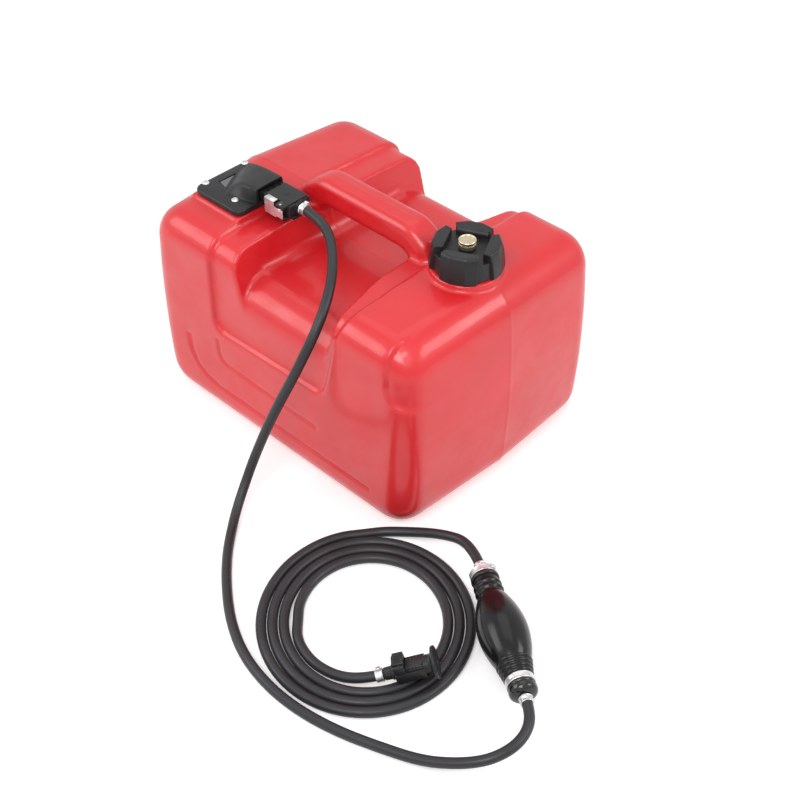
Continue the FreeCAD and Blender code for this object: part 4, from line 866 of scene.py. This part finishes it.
def make_gauge():
    """Housing and its triangular sight glass."""
    plate_form = bmesh.new()
    lofted(plate_form, [[mm(x, y, high) for x, y in plate_outline(inset)] for high, inset in PLATE_LEVELS])
    bmesh.ops.recalc_face_normals(plate_form, faces=plate_form.faces)
    middle = Vector((sum(x for x, _ in WINDOW) / 3, sum(y for _, y in WINDOW) / 3))
    wide = [middle + (Vector(corner) - middle) * WINDOW_FRAME for corner in WINDOW]
    recess = bmesh.new()
    lofted(recess, [[mm(x, y, z) for x, y in wide] for z in (PLATE_TOP - 0.8, PLATE_TOP + 2)])
    bmesh.ops.recalc_face_normals(recess, faces=recess.faces)
    housing = cut_by(plate_form, recess)
    hood = cut_by(hood_solid(), box_mesh(bmesh.new(), *SOCKET))
    turned(housing, SPIGOT, Matrix.Translation(mm(*GAUGE_AXIS, 0)), 64)
    joined(housing, hood)
    mesh = mesh_of("gauge_case", housing, 38)
    add_piece("gauge_case", mesh, "tank", "black_plastic", "gauge_housing")
    bm = bmesh.new()
    lofted(bm, [[mm(x, y, z) for x, y in WINDOW] for z in (PLATE_TOP - 1.6, PLATE_TOP - 0.3)])
    lens = add_piece("sight_triangle", mesh_of("sight_triangle", bm), "tank", "sight_glass", "gauge_lens")
    softened(lens, 0.3, 2, 40)


# Hose connector at the tank and its latch. Each box is two corners, its rounding and the steps of that

PLUG_BOXES = [
    ((-95.4, -60.2, 228.0), (-84.0, -34.8, 236.6), 0.5, 2),
    ((-86.0, -60.0, 226.6), (-72.0, -53.6, 237.2), 0.5, 2),
    ((-86.0, -52.6, 226.6), (-72.0, -46.6, 237.2), 0.5, 2),
    ((-86.0, -45.6, 226.6), (-72.0, -39.4, 237.2), 0.5, 2),
    ((-86.0, -38.4, 226.6), (-72.0, -35.0, 237.2), 0.5, 2),
    ((-84.0, -59.2, 227.2), (-72.0, -35.8, 236.2), 0.0, 2),
    ((-72.6, -61.0, 225.2), (-44.0, -34.4, 238.5), 1.0, 3),
    ((-56.4, -67.4, 236.5), (-45.5, -59.0, 239.9), 0.5, 2),
    ((-54.4, -67.2, 224.4), (-46.4, -60.0, 226.2), 0.4, 2),
    ((-50.0, -58.0, 222.9), (-42.4, -37.0, 226.0), 0.4, 2),
]
PLUG_COVER = [(-76.0, 238.3), (-45.5, 238.3), (-45.5, 239.9), (-76.0, 239.9)]
PLUG_BUTTON = [(0, 0), (0, 3.4), (0.5, 3.8), (0.8, 3.8), (0.8, 3.0), (1.1, 3.0), (1.1, 0)]
PLUG_BOSS = [(0, 0), (0, 7.6), (1.0, 7.6), (1.4, 6.8), (3.0, 6.8), (3.0, 4.7), (3.0, 0)]
LATCH_SHEET = [
    (-71.4, 225.4), (-70.8, 224.8), (-56.0, 224.8), (-56.0, 226.6), (-46.6, 226.6), (-46.6, 235.4),
    (-57.4, 235.4), (-58.4, 236.2), (-58.4, 240.6), (-71.4, 240.6),
]
LATCH_TUBE = [(226.7, 1.15), (226.7, 2.1), (236.2, 2.1), (236.2, 1.15)]


def plate(bm, outline, low, high):
    """Flat plate in the XZ plane between two depths along Y, all in mm."""
    lofted(bm, [[mm(x, y, z) for x, z in outline] for y in (low, high)])


def make_connector():
    """Plug with its slotted nose, body, cover plate and foot, and the sprung latch beside it."""
    bm = bmesh.new()
    for low, high, bevel, segments in PLUG_BOXES:
        box_mesh(bm, low, high, bevel=bevel, segments=segments)
    plate(bm, PLUG_COVER, -60.0, -36.0)
    turned(bm, PLUG_BUTTON, Matrix.Translation(mm(-62, -47.5, 239.2)), 40)
    turned(bm, PLUG_BOSS, frame_at(mm(-44.4, -47.5, 232.4), SIDE), 48)
    body = add_piece("plug_body", mesh_of("plug_body", bm), "tank", "black_plastic", "connector_body")
    softened(body, 0.3, 2, 40)
    bm = bmesh.new()
    plate(bm, LATCH_SHEET, -67.6, -66.9)
    box_mesh(bm, (-71.4, -67.6, 240.2), (-58.4, -61.4, 241.3), bevel=0.3)
    turned(bm, LATCH_TUBE, Matrix.Translation(mm(-51.4, -65.2, 0)), 28, closed=True)
    latch = add_piece("latch_sheet", mesh_of("latch_sheet", bm), "latch", "zinc_steel", "connector_latch")
    softened(latch, 0.25, 2, 40)


# Engine connector at the hose's free end, along the aim from where the hose ends

SOCKET_BARREL = [
    (0.4, 3.1), (0.4, 5.6), (6.8, 5.8), (7.2, 6.6), (9.6, 6.6), (10.2, 8.0), (30.0, 8.3), (40.4, 8.3),
    (42.0, 8.9), (43.2, 11.6), (43.6, 14.2), (45.6, 14.5), (46.2, 13.9), (46.2, 6.3), (43.2, 6.3),
    (43.2, 5.05), (26.0, 5.05), (26.0, 3.1),
]
SOCKET_BOXES = [
    ((-7.4, -9.0, 9.5), (3.3, 9.0, 36.0), 1.2, 3),
    ((3.0, -9.2, 10.2), (4.0, 9.2, 36.4), 0.35, 2),
    ((3.0, -7.4, 20.5), (6.0, 7.4, 36.0), 0.6, 2),
    ((6.6, -5.0, 33.4), (8.2, 5.0, 35.6), 0.5, 2),
    ((2.0, -8.8, 10.4), (13.8, -5.8, 20.2), 0.9, 3),
    ((2.0, 5.8, 10.4), (13.8, 8.8, 20.2), 0.9, 3),
]
PLATFORM_RIBS = 5
PLATFORM_PITCH = 2.9
LEVER_BOX = ((10.2, -5.5, 9.8), (15.2, 5.5, 20.6))
LEVER_RIBS = 3
LEVER_PITCH = 2.4


def make_engine_end():
    """Connector body with its ledge, ribbed platform and flared mouth, and the release lever."""
    place = frame_at(ENGINE_AT, ENGINE_AIM)
    bm = bmesh.new()
    turned(bm, rounded(SOCKET_BARREL, 0.5, 3), place, 72)
    for low, high, bevel, segments in SOCKET_BOXES:
        box_mesh(bm, low, high, place, bevel, segments)
    for rib in range(PLATFORM_RIBS):
        foot = PLATFORM_PITCH * rib
        box_mesh(bm, (5.6, -6.8, 22.2 + foot), (7.2, 6.8, 23.6 + foot), place, 0.4, 2)
    body = add_piece("socket_body", mesh_of("socket_body", bm), "tank", "black_plastic", "engine_connector")
    bm = bmesh.new()
    box_mesh(bm, *LEVER_BOX, place, 1.4, 3)
    for rib in range(LEVER_RIBS):
        foot = LEVER_PITCH * rib
        box_mesh(bm, (14.9, -4.6, 12.2 + foot), (15.8, 4.6, 13.2 + foot), place, 0.3, 1)
    lever = add_piece("release_lever", mesh_of("release_lever", bm), "lever", "black_plastic", "engine_lever")
    return body, lever


# Everything that keeps its CAD form

EDGES = {
    "gauge_gasket": ("seal_rubber", 0), "latch_pin": ("zinc_steel", 0.2),
    "connector_barb": ("zinc_steel", 0.2), "lever_pin": ("zinc_steel", 0.2),
}
PLAIN = {
    "cap_seal": SEAL, "vent_seal": SEAL, "gauge_dial": DIAL, "gauge_pointer": GLOSS_BLACK,
    "pickup_tube": ZINC, "pickup_strainer": BLACK, "float_bracket": ZINC, "float_pin": ZINC,
    "float_arm": ZINC, "fuel_float": FOAM, "outlet_nipple": BRASS, "joint_seal": SEAL,
    "inlet_ball": BRASS, "outlet_ball": BRASS, "engine_seal": SEAL,
}


def make_rest():
    """CAD pieces with rounded edges, and those inside with their finish alone."""
    made = {name: dressed(name, slot, width) for name, (slot, width) in EDGES.items()}
    for name, material in PLAIN.items():
        NODES[name].data.materials.clear()
        NODES[name].data.materials.append(material)
    return made


# Stage and light

LIGHT_TARGET = mm(60, -60, 100)
LAMPS = [
    ("left_box", (-0.60, -0.62, 0.55), 1.6, (1.0, 0.8), 9),
    ("right_box", (0.72, 0.40, 0.60), 1.6, (1.0, 0.6), 10),
    ("top_box", (-0.25, 0.25, 1.0), 1.7, (1.2, 1.2), 4),
    ("front_box", (0.40, -0.60, 0.80), 2.0, (0.9, 0.9), 20),
]
WHITE = (1, 1, 1, 1)
FLOOR_REACH = 6.0
FLOOR_COLOUR = (0.86, 0.86, 0.86, 1)
FLOOR_GLOW = 0.30
WORLD_STRENGTH = 0.45


def area_light(name, direction, distance, size, power):
    """Soft rectangular light that looks at the object from a direction."""
    data = bpy.data.lights.new(name, "AREA")
    data.shape = "RECTANGLE"
    data.size, data.size_y = size
    data.energy = power
    lamp = bpy.data.objects.new(name, data)
    bpy.context.scene.collection.objects.link(lamp)
    direction = Vector(direction).normalized()
    lamp.location = LIGHT_TARGET + direction * distance
    lamp.rotation_mode = "QUATERNION"
    lamp.rotation_quaternion = direction.to_track_quat("Z", "Y")


def background_rays(tree):
    """Output that is 1 for camera, glossy and transmission rays, and 0 for all others."""
    path = tree.nodes.new("ShaderNodeLightPath")
    shown = path.outputs["Is Camera Ray"]
    for ray in ("Is Glossy Ray", "Is Transmission Ray"):
        either = node(tree, "ShaderNodeMath")
        either.operation = "MAXIMUM"
        tree.links.new(shown, either.inputs[0])
        tree.links.new(path.outputs[ray], either.inputs[1])
        shown = either.outputs[0]
    return shown


def make_floor():
    """White floor that keeps the shadow and glows for the rays that show the background."""
    mesh = bpy.data.meshes.new("floor")
    corners = [(x * FLOOR_REACH, y * FLOOR_REACH, 0) for x, y in ((-1, -1), (1, -1), (1, 1), (-1, 1))]
    mesh.from_pydata(corners, [], [(0, 1, 2, 3)])
    floor = bpy.data.objects.new("floor", mesh)
    bpy.context.scene.collection.objects.link(floor)
    material = bpy.data.materials.new("floor_white")
    material.use_nodes = True
    tree = material.node_tree
    tree.nodes.clear()
    output = tree.nodes.new("ShaderNodeOutputMaterial")
    total = tree.nodes.new("ShaderNodeAddShader")
    diffuse = node(tree, "ShaderNodeBsdfDiffuse", Color=FLOOR_COLOUR)
    glow = node(tree, "ShaderNodeEmission", Color=WHITE)
    lift = node(tree, "ShaderNodeMath")
    lift.operation = "MULTIPLY"
    lift.inputs[1].default_value = FLOOR_GLOW
    tree.links.new(background_rays(tree), lift.inputs[0])
    tree.links.new(lift.outputs[0], glow.inputs["Strength"])
    tree.links.new(diffuse.outputs[0], total.inputs[0])
    tree.links.new(glow.outputs[0], total.inputs[1])
    tree.links.new(total.outputs[0], output.inputs["Surface"])
    mesh.materials.append(material)


def make_world():
    """Pale surroundings, white for the rays that show the background."""
    world = bpy.data.worlds.new("world")
    bpy.context.scene.world = world
    world.use_nodes = True
    sky = world.node_tree
    background = sky.nodes["Background"]
    background.inputs["Color"].default_value = WHITE
    background.inputs["Strength"].default_value = WORLD_STRENGTH
    bright = node(sky, "ShaderNodeBackground", Color=WHITE, Strength=1.0)
    choose = sky.nodes.new("ShaderNodeMixShader")
    sky.links.new(background_rays(sky), choose.inputs["Fac"])
    sky.links.new(background.outputs[0], choose.inputs[1])
    sky.links.new(bright.outputs[0], choose.inputs[2])
    sky.links.new(choose.outputs[0], sky.nodes["World Output"].inputs["Surface"])


def make_stage():
    """Floor, surroundings and soft lamps."""
    make_floor()
    make_world()
    for lamp in LAMPS:
        area_light(*lamp)


make_camera()
tank_hose, engine_hose, near_clamps, far_clamps = make_hoses()
bulb_pieces, outlet_collar = make_bulb()
make_tank()
rest = make_rest()
make_cap()
make_screws()
make_gauge()
make_connector()
engine_connector, engine_lever = make_engine_end()
make_stage()
bpy.context.scene.view_settings.view_transform = "Standard"
